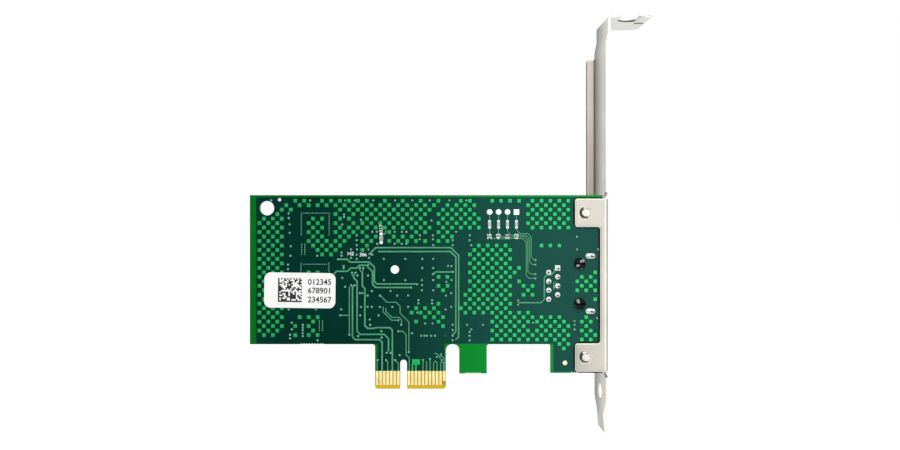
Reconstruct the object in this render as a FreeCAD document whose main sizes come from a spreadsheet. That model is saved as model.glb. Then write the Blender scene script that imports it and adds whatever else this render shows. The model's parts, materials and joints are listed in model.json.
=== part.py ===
"""A network interface card: one circuit board in a full-height bracket, with one network jack.

Frame: the card stands as it is plugged in. +X points out of the computer, through the bracket;
+Y points from the board's solder side to its component side; +Z points up, away from the slot.
The origin is on the board's middle plane, on the centre of the key notch, at the bottom edge of
the contact tongue. All sizes are millimetres.
"""
import FreeCAD, Part
import math
import os
import re

import Sketcher
from FreeCAD import Placement, Rotation, Vector

# name, size, what it is
SIZES = [
    # --- circuit board -----------------------------------------------------------------------
    ("board_thick", 1.57, "laminate with its copper and mask"),
    ("board_left", 43.6, "key notch to the free end"),
    ("board_right", 56.5, "key notch to the bracket end"),
    ("board_top", 55.0, "tongue's bottom edge to the top edge"),
    ("board_low", 12.7, "tongue's bottom edge to the board's lower edge"),
    ("tongue_left", 8.1, "key notch to the tongue's free end"),
    ("tongue_right", 12.0, "key notch to the slot beside the tongue"),
    ("key_width", 1.9, "width of the key notch"),
    ("key_top", 8.3, "height of the key notch"),
    ("slot_width", 3.8, "slot between the tongue and the snapped-off tab"),
    ("snap_tab_width", 7.8, "tab left where a longer tongue was snapped off"),
    ("snap_tab_low", 4.4, "height of the snapped edge"),
    ("leg_width", 14.8, "leg behind the bracket's lower tab"),
    ("leg_low", 4.55, "height of the leg's lower edge"),
    ("board_corner", 0.7, "radius of the board's routed corners"),
    ("insertion_bevel", 1.16, "height of the bevel along the contact edge"),
    ("bevel_depth", 0.42, "how far the bevel cuts into each face"),
    ("snap_hole", 0.26, "half width of the notches of a snap-off row"),
    ("snap_pitch", 0.76, "pitch of the notches of a snap-off row"),
    ("board_snap_in", 14.6, "free end to the first notch in the lower edge"),
    ("tab_snap_in", 2.1, "snapped tab's side to its first notch"),
    ("leg_snap_in", 6.0, "leg's side to its first notch"),
    ("mount_hole", 2.05, "radius of the free corner's mounting hole"),
    ("mount_hole_in", 4.8, "mounting hole from the free end"),
    ("mount_hole_down", 3.7, "mounting hole from the top edge"),
    ("tool_hole", 0.5, "radius of the bare tooling hole"),
    ("tool_hole_in", 8.4, "tooling hole from the free end"),
    ("tool_hole_down", 1.3, "tooling hole from the top edge"),
    ("test_hole", 0.6, "radius of the plated hole in the leg"),
    ("test_hole_in", 4.1, "plated hole from the leg's side"),
    ("test_hole_up", 2.85, "plated hole from the leg's lower edge"),
    # --- edge contacts -----------------------------------------------------------------------
    ("contact_pitch", 1.0, "pitch of the edge contacts"),
    ("contact_width", 0.7, "width of one contact"),
    ("contact_top", 5.12, "upper end of the contacts"),
    ("short_contact", 2.3, "lower end of the short, last-to-mate contact"),
    ("contact_first", 1.5, "key notch's centre to the first contact on either side"),
    ("copper_rise", 0.05, "how far a plated pad stands above the mask"),
    # --- copper pattern ----------------------------------------------------------------------
    ("thief_pitch", 1.27, "grid of the copper squares"),
    ("thief_side", 1.07, "side of one copper square"),
    ("thief_in", 2.7, "first column from the free end"),
    ("thief_down", 1.6, "first row from the top edge"),
    ("thief_clear", 0.3, "least gap from a copper square to an edge, a hole or the bracket"),
    # --- bracket -----------------------------------------------------------------------------
    ("bracket_sheet", 0.86, "steel sheet of the bracket"),
    ("plate_gap", 0.65, "board's edge to the plate"),
    ("bracket_width", 18.42, "width of the plate"),
    ("bracket_height", 120.02, "tail tip to the lip's top"),
    ("tail_depth", 14.1, "tail tip below the tongue's bottom edge"),
    ("bend_inner", 0.25, "inner radius of the folds"),
    ("jog_start", 7.9, "lip's top to the lower end of the jog"),
    ("jog_end", 4.7, "lip's top to the upper end of the jog"),
    ("jog_step", 0.6, "how far the jog sets the lip out"),
    ("lip_length", 11.43, "plate's outer face to the lip's free end"),
    ("lip_notch_width", 5.1, "screw notch in the lip"),
    ("lip_notch_deep", 6.4, "depth of the screw notch"),
    ("lip_notch_out", 5.45, "plate's outer face to the notch's centre"),
    ("lip_slit_width", 2.2, "slit in the lip's free end"),
    ("lip_slit_deep", 3.1, "length of the slit"),
    ("lip_slit_across", 7.7, "near edge to the slit's centre"),
    ("lip_corner", 3.0, "radius of the lip's far corner"),
    ("lip_finger_corner", 0.9, "radius where the slit meets the free end"),
    ("tab_reach", 7.95, "board's edge back to the end of a fastening tab"),
    ("tab_tall", 8.05, "height of a fastening tab"),
    ("tab_low", 5.0, "lower edge of the lower tab"),
    ("tab_high", 54.0, "upper edge of the upper tab"),
    ("tab_corner", 0.8, "radius of the tabs' corners"),
    ("strip_reach", 0.85, "board's edge back to the edge of the strip between the tabs"),
    ("relief_deep", 3.0, "depth of the bend relief"),
    ("relief_tall", 0.6, "straight part of the bend relief"),
    ("relief_slope", 1.1, "sloping part of the bend relief"),
    ("stiffener_reach", 2.35, "how far the stiffening flange stands in from the plate"),
    ("stiffener_drop", 9.62, "lip's top to the top of the stiffening flange"),
    ("stiffener_low", 46.0, "bottom of the stiffening flange"),
    ("stiffener_corner", 1.2, "radius of the flange's corners"),
    ("tail_width", 10.19, "width of the tail"),
    ("tail_inset", 3.5, "near edge to the tail's edge"),
    ("tail_near_start", 3.1, "start of the near taper, below the origin"),
    ("tail_near_end", 6.9, "end of the near taper, below the origin"),
    ("tail_far_start", 4.8, "start of the far taper, below the origin"),
    ("tail_far_end", 8.3, "end of the far taper, below the origin"),
    ("tail_lean", 0.4, "how far the tail leans out before its tip"),
    ("tail_straight", 4.4, "length of the leaning part of the tail"),
    ("hook_tall", 0.9, "height of the tail's out-turned tip"),
    ("tail_hole", 2.5, "radius of the hole at the head of the tail"),
    ("tail_hole_low", 2.2, "hole's centre below the origin"),
    # --- screws ------------------------------------------------------------------------------
    ("screw_radius", 1.5, "thread radius of the two bracket screws"),
    ("screw_in", 5.0, "board's edge to the screws"),
    ("screw_low", 9.2, "height of the lower screw"),
    ("screw_high", 50.0, "height of the upper screw"),
    ("screw_hole_play", 0.15, "clearance of the screws in the board"),
    ("thread_play", 0.02, "clearance of the screws in the tapped tabs"),
    ("thread_mouth", 0.35, "countersink at the mouth of a tapped hole"),
    ("head_radius", 2.8, "radius of a screw head"),
    ("head_tall", 2.1, "height of a screw head"),
    ("screw_tip", 0.55, "how far a screw tip stands out of its tab"),
    ("tip_chamfer", 0.4, "chamfer of a screw tip"),
    # --- network jack ------------------------------------------------------------------------
    ("jack_z", 29.9, "height of the jack's axis"),
    ("jack_wide", 15.9, "shield's width"),
    ("jack_tall", 13.2, "shield's height over the board"),
    ("jack_deep", 18.2, "shield's depth"),
    ("jack_proud", 0.35, "how far the jack stands out of the plate"),
    ("shield_sheet", 0.25, "sheet of the shield"),
    ("jack_play", 0.1, "clearance between the housing and the shield"),
    ("window_play", 0.25, "clearance round the jack in the plate's window"),
    ("face_margin", 1.35, "shield's front rim"),
    ("port_wide", 11.9, "width of the plug's cavity"),
    ("port_tall", 6.9, "height of the plug's cavity"),
    ("port_up", 4.2, "board's face to the cavity's floor"),
    ("port_deep", 12.2, "depth of the cavity"),
    ("latch_wide", 6.2, "width of the latch recess"),
    ("latch_tall", 1.5, "depth of the latch recess"),
    ("latch_key_wide", 3.4, "width of the inner latch recess"),
    ("latch_key_tall", 1.0, "depth of the inner latch recess"),
    ("housing_deep", 13.4, "depth of the moulded housing"),
    ("post_radius", 1.55, "radius of the split snap posts"),
    ("post_play", 0.08, "clearance of the posts in the board"),
    ("post_back", 6.5, "board's edge to the posts"),
    ("post_spread", 11.43, "distance between the posts"),
    ("post_proud", 1.1, "how far a post stands out of the board"),
    ("post_split", 0.6, "width of the split"),
    ("post_chamfer", 0.35, "chamfer of a post's tip"),
    ("wire_wide", 0.46, "width of a contact wire"),
    ("wire_thick", 0.3, "thickness of a contact wire"),
    ("wire_play", 0.05, "clearance of a wire in its groove"),
    ("wire_pitch", 1.27, "pitch of the wires along the jack's width"),
    ("pin_row_front", 12.8, "board's edge to the front row of pins"),
    ("pin_row_gap", 2.54, "distance between the two rows of pins"),
    ("pin_proud", 1.0, "how far the pins stand out of the board"),
    ("pin_hole", 0.45, "radius of the pins' holes"),
    ("pin_pad", 0.775, "radius of a pin's solder joint"),
    ("joint_tall", 0.6, "height of a pin's solder joint"),
    ("leg_back", 3.5, "board's edge to the shield's solder legs"),
    ("shield_leg_wide", 1.6, "width of a solder leg"),
    ("leg_slot_wide", 0.9, "width of a solder leg's slot"),
    ("leg_slot_long", 2.0, "length of a solder leg's slot"),
    ("leg_pad_wide", 1.6, "width of a solder leg's joint"),
    ("leg_pad_long", 2.8, "length of a solder leg's joint"),
    ("solder_play", 0.02, "clearance between solder and what it wets"),
    # --- header and ground plug --------------------------------------------------------------
    ("header_in", 24.4, "key notch to the first header hole"),
    ("header_pitch", 2.54, "pitch of the header"),
    ("header_down", 4.8, "header from the top edge"),
    ("header_pad", 0.8, "radius of a header pad"),
    ("ground_hole", 0.75, "radius of the solder-filled hole under the controller"),
    ("ground_pad", 1.2, "radius of its pad"),
    # --- label -------------------------------------------------------------------------------
    ("label_wide", 20.2, "label's width"),
    ("label_tall", 10.0, "label's height"),
    ("label_thick", 0.1, "label's thickness"),
    ("label_corner", 1.8, "label's corner radius"),
    ("label_in", 14.2, "free end to the label's centre"),
    ("label_height", 28.0, "height of the label's centre"),
    ("label_tilt", 0.75, "degrees that the label was stuck on askew"),
    # --- controller --------------------------------------------------------------------------
    ("chip_side", 9.0, "side of the controller"),
    ("chip_tall", 0.85, "height of the controller"),
    ("chip_left", 2.46, "controller's centre to the left of the key notch"),
    ("chip_height", 33.9, "height of the controller's centre"),
    ("chip_pads", 16, "pads on one side of the controller"),
    ("chip_pad_pitch", 0.5, "pitch of the controller's pads"),
    ("chip_pad_wide", 0.24, "width of one pad"),
    ("chip_pad_long", 0.55, "length of one pad"),
    ("chip_pad_proud", 0.15, "how far a pad shows beside the controller"),
    ("heat_pad", 6.0, "side of the heat pad under the controller"),
    ("ring_gap", 3.2, "controller's side to the capacitors round it"),
    ("ring_pitch", 3.3, "pitch of those capacitors"),
    ("standoff", 0.06, "solder film under a surface-mounted body"),
    # --- magnetics ---------------------------------------------------------------------------
    ("magnetics_wide", 9.7, "width of the transformer module"),
    ("magnetics_long", 15.1, "length of the transformer module"),
    ("magnetics_tall", 5.4, "height of the transformer module"),
    ("magnetics_back", 12.2, "pins' front row to the module's centre"),
    ("magnetics_pins", 12, "leads on one side of the module"),
    ("magnetics_pitch", 1.19, "pitch of the module's leads"),
    # --- clock crystal -----------------------------------------------------------------------
    ("crystal_long", 11.0, "length of the crystal's can"),
    ("crystal_wide", 4.5, "width of the can"),
    ("crystal_tall", 3.4, "height of the can"),
    ("crystal_base", 0.8, "height of the base"),
    ("crystal_brim", 0.5, "base beyond the can"),
    ("crystal_right", 8.46, "controller's centre across to the crystal's"),
    ("crystal_up", 10.7, "controller's centre up to the crystal's"),
    # --- flash memory ------------------------------------------------------------------------
    ("flash_long", 4.9, "length of the memory chip"),
    ("flash_wide", 3.9, "width of the memory chip"),
    ("flash_tall", 1.45, "height of the memory chip"),
    ("flash_left", 12.74, "controller's centre back to the memory chip's"),
    ("flash_up", 10.1, "controller's centre up to the memory chip's"),
    ("flash_pitch", 1.27, "pitch of its leads"),
    # --- voltage regulator -------------------------------------------------------------------
    ("regulator_long", 6.5, "length of the regulator"),
    ("regulator_wide", 3.5, "width of the regulator"),
    ("regulator_tall", 1.6, "height of the regulator"),
    ("regulator_x", -16.0, "regulator's centre"),
    ("regulator_z", 21.0, "regulator's centre"),
    ("regulator_pitch", 2.3, "pitch of its leads"),
    ("regulator_tab", 3.0, "width of its cooling tab"),
    # --- leads of the packages ---------------------------------------------------------------
    ("lead_wide", 0.42, "width of a package lead"),
    ("lead_thick", 0.2, "thickness of a package lead"),
    ("lead_reach", 1.3, "how far a lead stands out of its package"),
    ("lead_foot", 0.75, "length of a lead's foot"),
    ("lead_rise", 0.9, "height where a lead leaves its package"),
    # --- inductor and capacitors -------------------------------------------------------------
    ("inductor_side", 5.0, "side of the power inductor"),
    ("inductor_tall", 2.8, "height of the power inductor"),
    ("inductor_corner", 1.3, "chamfer of its corners"),
    ("inductor_x", -26.5, "inductor's centre"),
    ("inductor_z", 22.0, "inductor's centre"),
    ("can_radius", 2.5, "radius of the electrolytic capacitors"),
    ("can_tall", 5.3, "height of the electrolytic capacitors"),
    ("can_base", 5.3, "side of their bases"),
    ("can_base_tall", 0.9, "height of their bases"),
    ("can_x", -33.0, "centre of the electrolytic capacitors"),
    ("can_z", 33.0, "lower one's centre"),
    ("can_gap", 8.2, "distance between the two"),
    # --- chip capacitors and resistors -------------------------------------------------------
    ("chip_part_long", 1.6, "length of a chip part"),
    ("chip_part_wide", 0.8, "width of a chip part"),
    ("cap_tall", 0.8, "height of a chip capacitor"),
    ("resistor_tall", 0.45, "height of a chip resistor"),
    ("series_pitch", 1.9, "pitch of the resistors between controller and module"),
]

doc = FreeCAD.newDocument("network_interface_card")
sheet = doc.addObject("Spreadsheet::Sheet", "dims")
for line, (alias, amount, meaning) in enumerate(SIZES, 1):
    sheet.set(f"A{line}", alias)
    sheet.set(f"B{line}", str(amount))
    sheet.setAlias(f"B{line}", alias)
    sheet.set(f"C{line}", meaning)
doc.recompute()

ALIASES = {alias for alias, amount, meaning in SIZES}
parts = []


def bound(text):
    """An expression on the sheet, from a text that uses the sheet's names alone."""
    return re.sub(r"[a-z_]+", lambda word: f"dims.{word[0]}" if word[0] in ALIASES else word[0], str(text))


def size(text):
    """The number that such a text stands for now."""
    return float(sheet.evalExpression(bound(text)))


# Faces and edges that several pieces share, in the sheet's names
SOLDER_FACE = "-board_thick / 2"
COMPONENT_FACE = "board_thick / 2"
PLATE_IN = "(board_right + plate_gap)"
PLATE_OUT = "(board_right + plate_gap + bracket_sheet)"
NEAR = "(-board_thick / 2 - bracket_sheet)"
FAR = f"({NEAR} + bracket_width)"
BEND_OUTER = "(bend_inner + bracket_sheet)"
PLATE_FAR = f"({FAR} - {BEND_OUTER})"
LIP_TOP = "(bracket_height - tail_depth)"
STIFFENER_TOP = f"({LIP_TOP} - stiffener_drop)"
TAB_END = "(board_right - tab_reach)"
STRIP_EDGE = "(board_right - strip_reach)"
SCREW_X = "board_right - screw_in"
SNAP_TAB_LEFT = "(tongue_right + slot_width)"
SNAP_TAB_RIGHT = "(tongue_right + slot_width + snap_tab_width)"
LEG_LEFT = "(board_right - leg_width)"
JACK_FRONT = f"({PLATE_OUT} + jack_proud)"
JACK_BACK = f"({JACK_FRONT} - jack_deep)"
JACK_TOP = f"({COMPONENT_FACE} + jack_tall)"
HOUSING_FRONT = f"({JACK_FRONT} - shield_sheet - jack_play)"
PORT_FLOOR = f"({COMPONENT_FACE} + port_up)"
PORT_ROOF = f"({PORT_FLOOR} + port_tall)"
PIN_FRONT = "(board_right - pin_row_front)"
PIN_BACK = "(board_right - pin_row_front - pin_row_gap)"
GROOVE_DEEP = "(wire_thick + 2 * wire_play)"
PIN_COUNT = 8


def new_body(name):
    """A body with the name that its file will have."""
    body = doc.addObject("PartDesign::Body", name)
    body.Label = name
    parts.append(body)
    return body


def new_sketch(body, role, name, along="0"):
    """A sketch on one of the body's own planes, moved along the plane's normal.

    XY_Plane looks along +Z, YZ_Plane along +X, and XZ_Plane along -Y."""
    plane = next(feature for feature in body.Origin.OriginFeatures if feature.Role == role)
    sketch = body.newObject("Sketcher::SketchObject", name)
    sketch.AttachmentSupport = [(plane, "")]
    sketch.MapMode = "FlatFace"
    sketch.setExpression("AttachmentOffset.Base.z", bound(along))
    return sketch


def pin_point(sketch, geometry, point, across, up):
    """Ties one point of a sketch to two expressions."""
    for kind, text in (("DistanceX", across), ("DistanceY", up)):
        rule = sketch.addConstraint(Sketcher.Constraint(kind, -1, 1, geometry, point, size(text)))
        sketch.setExpression(f"Constraints[{rule}]", bound(text))


def outline(sketch, corners):
    """A closed run of straight edges through corners given as pairs of expressions."""
    first = sketch.GeometryCount
    spots = [Vector(size(across), size(up), 0) for across, up in corners]
    for here, there in zip(spots, spots[1:] + spots[:1]):
        sketch.addGeometry(Part.LineSegment(here, there), False)
    for turn, (across, up) in enumerate(corners):
        following = first + (turn + 1) % len(corners)
        sketch.addConstraint(Sketcher.Constraint("Coincident", first + turn, 2, following, 1))
        pin_point(sketch, first + turn, 1, across, up)


def rectangle(sketch, left, right, low, high):
    """Four edges between two pairs of expressions."""
    outline(sketch, [(left, low), (right, low), (right, high), (left, high)])


def circle(sketch, across, up, radius):
    """A circle whose centre and radius are expressions."""
    spot = Vector(size(across), size(up), 0)
    ring = sketch.addGeometry(Part.Circle(spot, Vector(0, 0, 1), size(radius)), False)
    pin_point(sketch, ring, 3, across, up)
    rule = sketch.addConstraint(Sketcher.Constraint("Radius", ring, size(radius)))
    sketch.setExpression(f"Constraints[{rule}]", bound(radius))


def round_slot(sketch, centre, mouth, end, width):
    """A slot that opens downwards in the sketch and has a full round at its upper end."""
    left, right = f"{centre} - {width} / 2", f"{centre} + {width} / 2"
    crown = f"{end} - {width} / 2"
    mid, low, high, half = size(centre), size(mouth), size(crown), size(f"{width} / 2")
    rise = sketch.addGeometry(Part.LineSegment(Vector(mid - half, low, 0), Vector(mid - half, high, 0)), False)
    cap = Part.Circle(Vector(mid, high, 0), Vector(0, 0, 1), half)
    arc = sketch.addGeometry(Part.ArcOfCircle(cap, 0, math.pi), False)
    fall = sketch.addGeometry(Part.LineSegment(Vector(mid + half, high, 0), Vector(mid + half, low, 0)), False)
    foot = sketch.addGeometry(Part.LineSegment(Vector(mid + half, low, 0), Vector(mid - half, low, 0)), False)
    sketch.addConstraint(Sketcher.Constraint("Tangent", rise, 2, arc, 2))
    sketch.addConstraint(Sketcher.Constraint("Tangent", arc, 1, fall, 1))
    sketch.addConstraint(Sketcher.Constraint("Coincident", fall, 2, foot, 1))
    sketch.addConstraint(Sketcher.Constraint("Coincident", foot, 2, rise, 1))
    sketch.addConstraint(Sketcher.Constraint("Vertical", rise))
    pin_point(sketch, rise, 1, left, mouth)
    pin_point(sketch, fall, 2, right, mouth)
    pin_point(sketch, arc, 3, centre, crown)


def settle(feature):
    """Rebuilds the document, and stops where the new feature failed."""
    doc.recompute()
    if "Invalid" in feature.State or "Error" in feature.State:
        raise ValueError(f"{feature.Name} failed")


def pad(body, sketch, length, backwards=False):
    """Adds the sketch's area along its normal, or against it."""
    feature = body.newObject("PartDesign::Pad", f"{sketch.Name}_pad")
    feature.Profile = sketch
    feature.Reversed = backwards
    feature.setExpression("Length", bound(length))
    settle(feature)


def pocket(body, sketch, length):
    """Cuts the sketch's area against its normal, and makes sure that it cut something."""
    before = body.Shape.Volume
    feature = body.newObject("PartDesign::Pocket", f"{sketch.Name}_cut")
    feature.Profile = sketch
    feature.setExpression("Length", bound(length))
    settle(feature)
    if body.Shape.Volume > before - 1e-6:
        raise ValueError(f"{feature.Name} cuts nothing")


def corner_edges(body, axis, corners, between=("-1000", "1000")):
    """Names of the body's edges that run along an axis through one of the given corners.

    A corner gives the two other coordinates, in X, Y, Z order, as expressions. An edge counts
    only where its middle lies between two places along the axis."""
    along = "XYZ".index(axis)
    others = [index for index in range(3) if index != along]
    start, end = (size(place) for place in between)
    spots = [(size(one), size(two)) for one, two in corners]
    names = []
    for number, edge in enumerate(body.Shape.Edges, 1):
        ends = [vertex.Point for vertex in edge.Vertexes]
        if len(ends) != 2 or edge.Curve.TypeId != "Part::GeomLine":
            continue
        flat = [(point[others[0]], point[others[1]]) for point in ends]
        if not start < (ends[0][along] + ends[1][along]) / 2 < end:
            continue
        if any(all(math.dist(place, spot) < 1e-4 for place in flat) for spot in spots):
            names.append(f"Edge{number}")
    return names


def dress(body, kind, name, edges, amount):
    """A fillet or a chamfer on named edges."""
    base = body.Tip
    feature = body.newObject(f"PartDesign::{kind}", name)
    feature.Base = (base, edges)
    feature.setExpression("Radius" if kind == "Fillet" else "Size", bound(amount))
    settle(feature)


def ring_edges(body, radius, height):
    """Names of the body's full circles of one radius that lie at one Y."""
    names = []
    for number, edge in enumerate(body.Shape.Edges, 1):
        if edge.Curve.TypeId == "Part::GeomCircle" and abs(edge.Curve.Radius - size(radius)) < 1e-5:
            if abs(edge.CenterOfMass.y - size(height)) < 1e-4:
                names.append(f"Edge{number}")
    return names


def group(name, solids):
    """Separate like solids kept in one sub-part."""
    feature = doc.addObject("Part::Feature", name)
    feature.Label = name
    feature.Shape = Part.makeCompound(solids)
    parts.append(feature)


def brick(left, right, near, far, low, high):
    """A box between three pairs of numbers."""
    return Part.makeBox(right - left, far - near, high - low, Vector(left, near, low))


def turned(profile, x, z):
    """A solid turned about an axis along Y, from a profile of (radius, y) points."""
    points = [Vector(x + radius, y, z) for radius, y in profile]
    face = Part.Face(Part.makePolygon(points + points[:1]))
    return face.revolve(Vector(x, 0, z), Vector(0, 1, 0), 360)


SIDES = 12


def faceted(levels, x, z, stretch=0, hole=None):
    """A small solder bead with few faces, ringed about an axis along Y.

    levels holds (radius, y) pairs. stretch makes the rings longer along X, and hole gives the
    half width along X and Z of what stands in the bead."""
    rings = []
    for radius, y in levels:
        points = []
        for corner in range(SIDES):
            turn = math.tau * (corner + 0.5) / SIDES
            shift = math.copysign(stretch, math.cos(turn))
            points.append(Vector(x + shift + radius * math.cos(turn), y, z + radius * math.sin(turn)))
        rings.append(Part.makePolygon(points + points[:1]))
    bead = Part.makeLoft(rings, True, True)
    if hole is not None:
        bead = bead.cut(brick(x - hole[0], x + hole[0], levels[-1][1] - 1, levels[0][1] + 1,
                              z - hole[1], z + hole[1]))
    return bead


# --- circuit board ------------------------------------------------------------------------------
board = new_body("circuit_board")
plan = new_sketch(board, "XZ_Plane", "board_outline", SOLDER_FACE)
outline(plan, [
    ("-board_left", "board_low"),
    ("-tongue_left", "board_low"),
    ("-tongue_left", "0"),
    ("tongue_right", "0"),
    ("tongue_right", "board_low"),
    (SNAP_TAB_LEFT, "board_low"),
    (SNAP_TAB_LEFT, "snap_tab_low"),
    (SNAP_TAB_RIGHT, "snap_tab_low"),
    (SNAP_TAB_RIGHT, "board_low"),
    (LEG_LEFT, "board_low"),
    (LEG_LEFT, "leg_low"),
    ("board_right", "leg_low"),
    ("board_right", "board_top"),
    ("-board_left", "board_top"),
])
pad(board, plan, "board_thick")
# The router rounds the inner corners and the tongue's ends; the scored and snapped corners stay sharp
ROUNDED = [("-tongue_left", "board_low"), (SNAP_TAB_RIGHT, "board_low"), (LEG_LEFT, "board_low"),
           ("-tongue_left", "0"), ("tongue_right", "0")]
dress(board, "Fillet", "routed_corners", corner_edges(board, "Y", ROUNDED), "board_corner")
SLOT_END = [("tongue_right", "board_low"), (SNAP_TAB_LEFT, "board_low")]
dress(board, "Fillet", "slot_end", corner_edges(board, "Y", SLOT_END), "slot_width / 2 - board_corner / 4")

key = new_sketch(board, "XZ_Plane", "key_notch", "board_thick")
round_slot(key, "0", "-board_corner", "key_top", "key_width")
pocket(board, key, "2 * board_thick")

bevel = new_sketch(board, "YZ_Plane", "insertion_bevel_profile", "tongue_right")
for side in ("-", ""):
    outline(bevel, [
        (f"{side}board_thick", "0"),
        (f"{side}(board_thick / 2 - bevel_depth)", "0"),
        (f"{side}board_thick / 2", "insertion_bevel"),
        (f"{side}board_thick", "insertion_bevel"),
    ])
pocket(board, bevel, "tongue_left + tongue_right")

# Pin holes: two staggered rows, the odd pins in the front one
PIN_SPOTS = []
for pin in range(PIN_COUNT):
    row = PIN_FRONT if pin % 2 == 0 else PIN_BACK
    PIN_SPOTS.append((row, f"(jack_z + ({(PIN_COUNT - 1) / 2 - pin}) * wire_pitch)"))
SCREW_SPOTS = [(SCREW_X, "screw_low"), (SCREW_X, "screw_high")]
POST_SPOTS = [("(board_right - post_back)", f"(jack_z {sign} post_spread / 2)") for sign in "-+"]
LEG_SPOTS = [("(board_right - leg_back)", f"(jack_z {sign} (jack_wide - shield_sheet) / 2)") for sign in "-+"]
HEADER_SPOTS = [(f"(header_in + {index} * header_pitch)", "(board_top - header_down)") for index in range(4)]
GROUND_SPOT = ("-chip_left", "chip_height")
MOUNT_SPOT = ("(-board_left + mount_hole_in)", "(board_top - mount_hole_down)")
TOOL_SPOT = ("(-board_left + tool_hole_in)", "(board_top - tool_hole_down)")
TEST_SPOT = (f"({LEG_LEFT} + test_hole_in)", "(leg_low + test_hole_up)")
# start of each snap-off row, its edge's height, and how many notches it has
SNAP_ROWS = [("-board_left + board_snap_in", "board_low", 9), (f"{SNAP_TAB_LEFT} + tab_snap_in", "snap_tab_low", 6),
             (f"{LEG_LEFT} + leg_snap_in", "leg_low", 8)]

drill = new_sketch(board, "XZ_Plane", "drilled_holes", "board_thick")
for spot, radius in ((MOUNT_SPOT, "mount_hole"), (TOOL_SPOT, "tool_hole"), (TEST_SPOT, "test_hole")):
    circle(drill, *spot, radius)
for across, up in SCREW_SPOTS:
    circle(drill, across, up, "screw_radius + screw_hole_play")
for across, up in POST_SPOTS:
    circle(drill, across, up, "post_radius + post_play")
for across, up in PIN_SPOTS:
    circle(drill, across, up, "pin_hole")
circle(drill, *GROUND_SPOT, "ground_hole")
for across, up in LEG_SPOTS:
    rectangle(drill, f"{across} - leg_slot_long / 2", f"{across} + leg_slot_long / 2",
              f"{up} - leg_slot_wide / 2", f"{up} + leg_slot_wide / 2")
pocket(board, drill, "2 * board_thick")

for number, (start, edge, count) in enumerate(SNAP_ROWS):
    snap = new_sketch(board, "XZ_Plane", f"snap_notch_{number}", "board_thick")
    outline(snap, [
        (f"{start} - snap_hole", f"{edge} - snap_hole"),
        (f"{start} + snap_hole", f"{edge} - snap_hole"),
        (f"{start} + snap_hole / 2", f"{edge} + snap_hole"),
        (f"{start} - snap_hole / 2", f"{edge} + snap_hole"),
    ])
    pocket(board, snap, "2 * board_thick")
    row = board.newObject("PartDesign::LinearPattern", f"snap_row_{number}")
    row.Originals = [board.getObject(f"{snap.Name}_cut")]
    row.Direction = (snap, ["H_Axis"])
    row.Occurrences = count
    row.setExpression("Length", bound(f"{count - 1} * snap_pitch"))
    board.Tip = row
    settle(row)
dress(board, "Chamfer", "mount_hole_edge", ring_edges(board, "mount_hole", SOLDER_FACE), "0.1 * board_thick")

# --- edge contacts ------------------------------------------------------------------------------
CONTACTS_LEFT, CONTACTS_RIGHT = 7, 11


def contact_row(name, inner, outer, short_at):
    """Contacts of one face between two heights over the board's middle plane."""
    half = size("contact_width") / 2
    centres = [-size("contact_first") - index * size("contact_pitch") for index in range(CONTACTS_LEFT)]
    centres += [size("contact_first") + index * size("contact_pitch") for index in range(CONTACTS_RIGHT)]
    solids = []
    for centre in sorted(centres):
        is_short = abs(centre - short_at) < size("contact_pitch") / 4
        low = size("short_contact") if is_short else size("insertion_bevel")
        near, far = sorted((inner, outer))
        solids.append(brick(centre - half, centre + half, near, far, low, size("contact_top")))
    group(name, solids)


LAST_CONTACT = size("contact_first + 10 * contact_pitch")
contact_row("edge_contacts_solder_side", size(SOLDER_FACE), size(f"{SOLDER_FACE} - copper_rise"), LAST_CONTACT)
contact_row("edge_contacts_component_side", size(COMPONENT_FACE), size(f"{COMPONENT_FACE} + copper_rise"),
            LAST_CONTACT - size("contact_pitch"))

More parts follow.
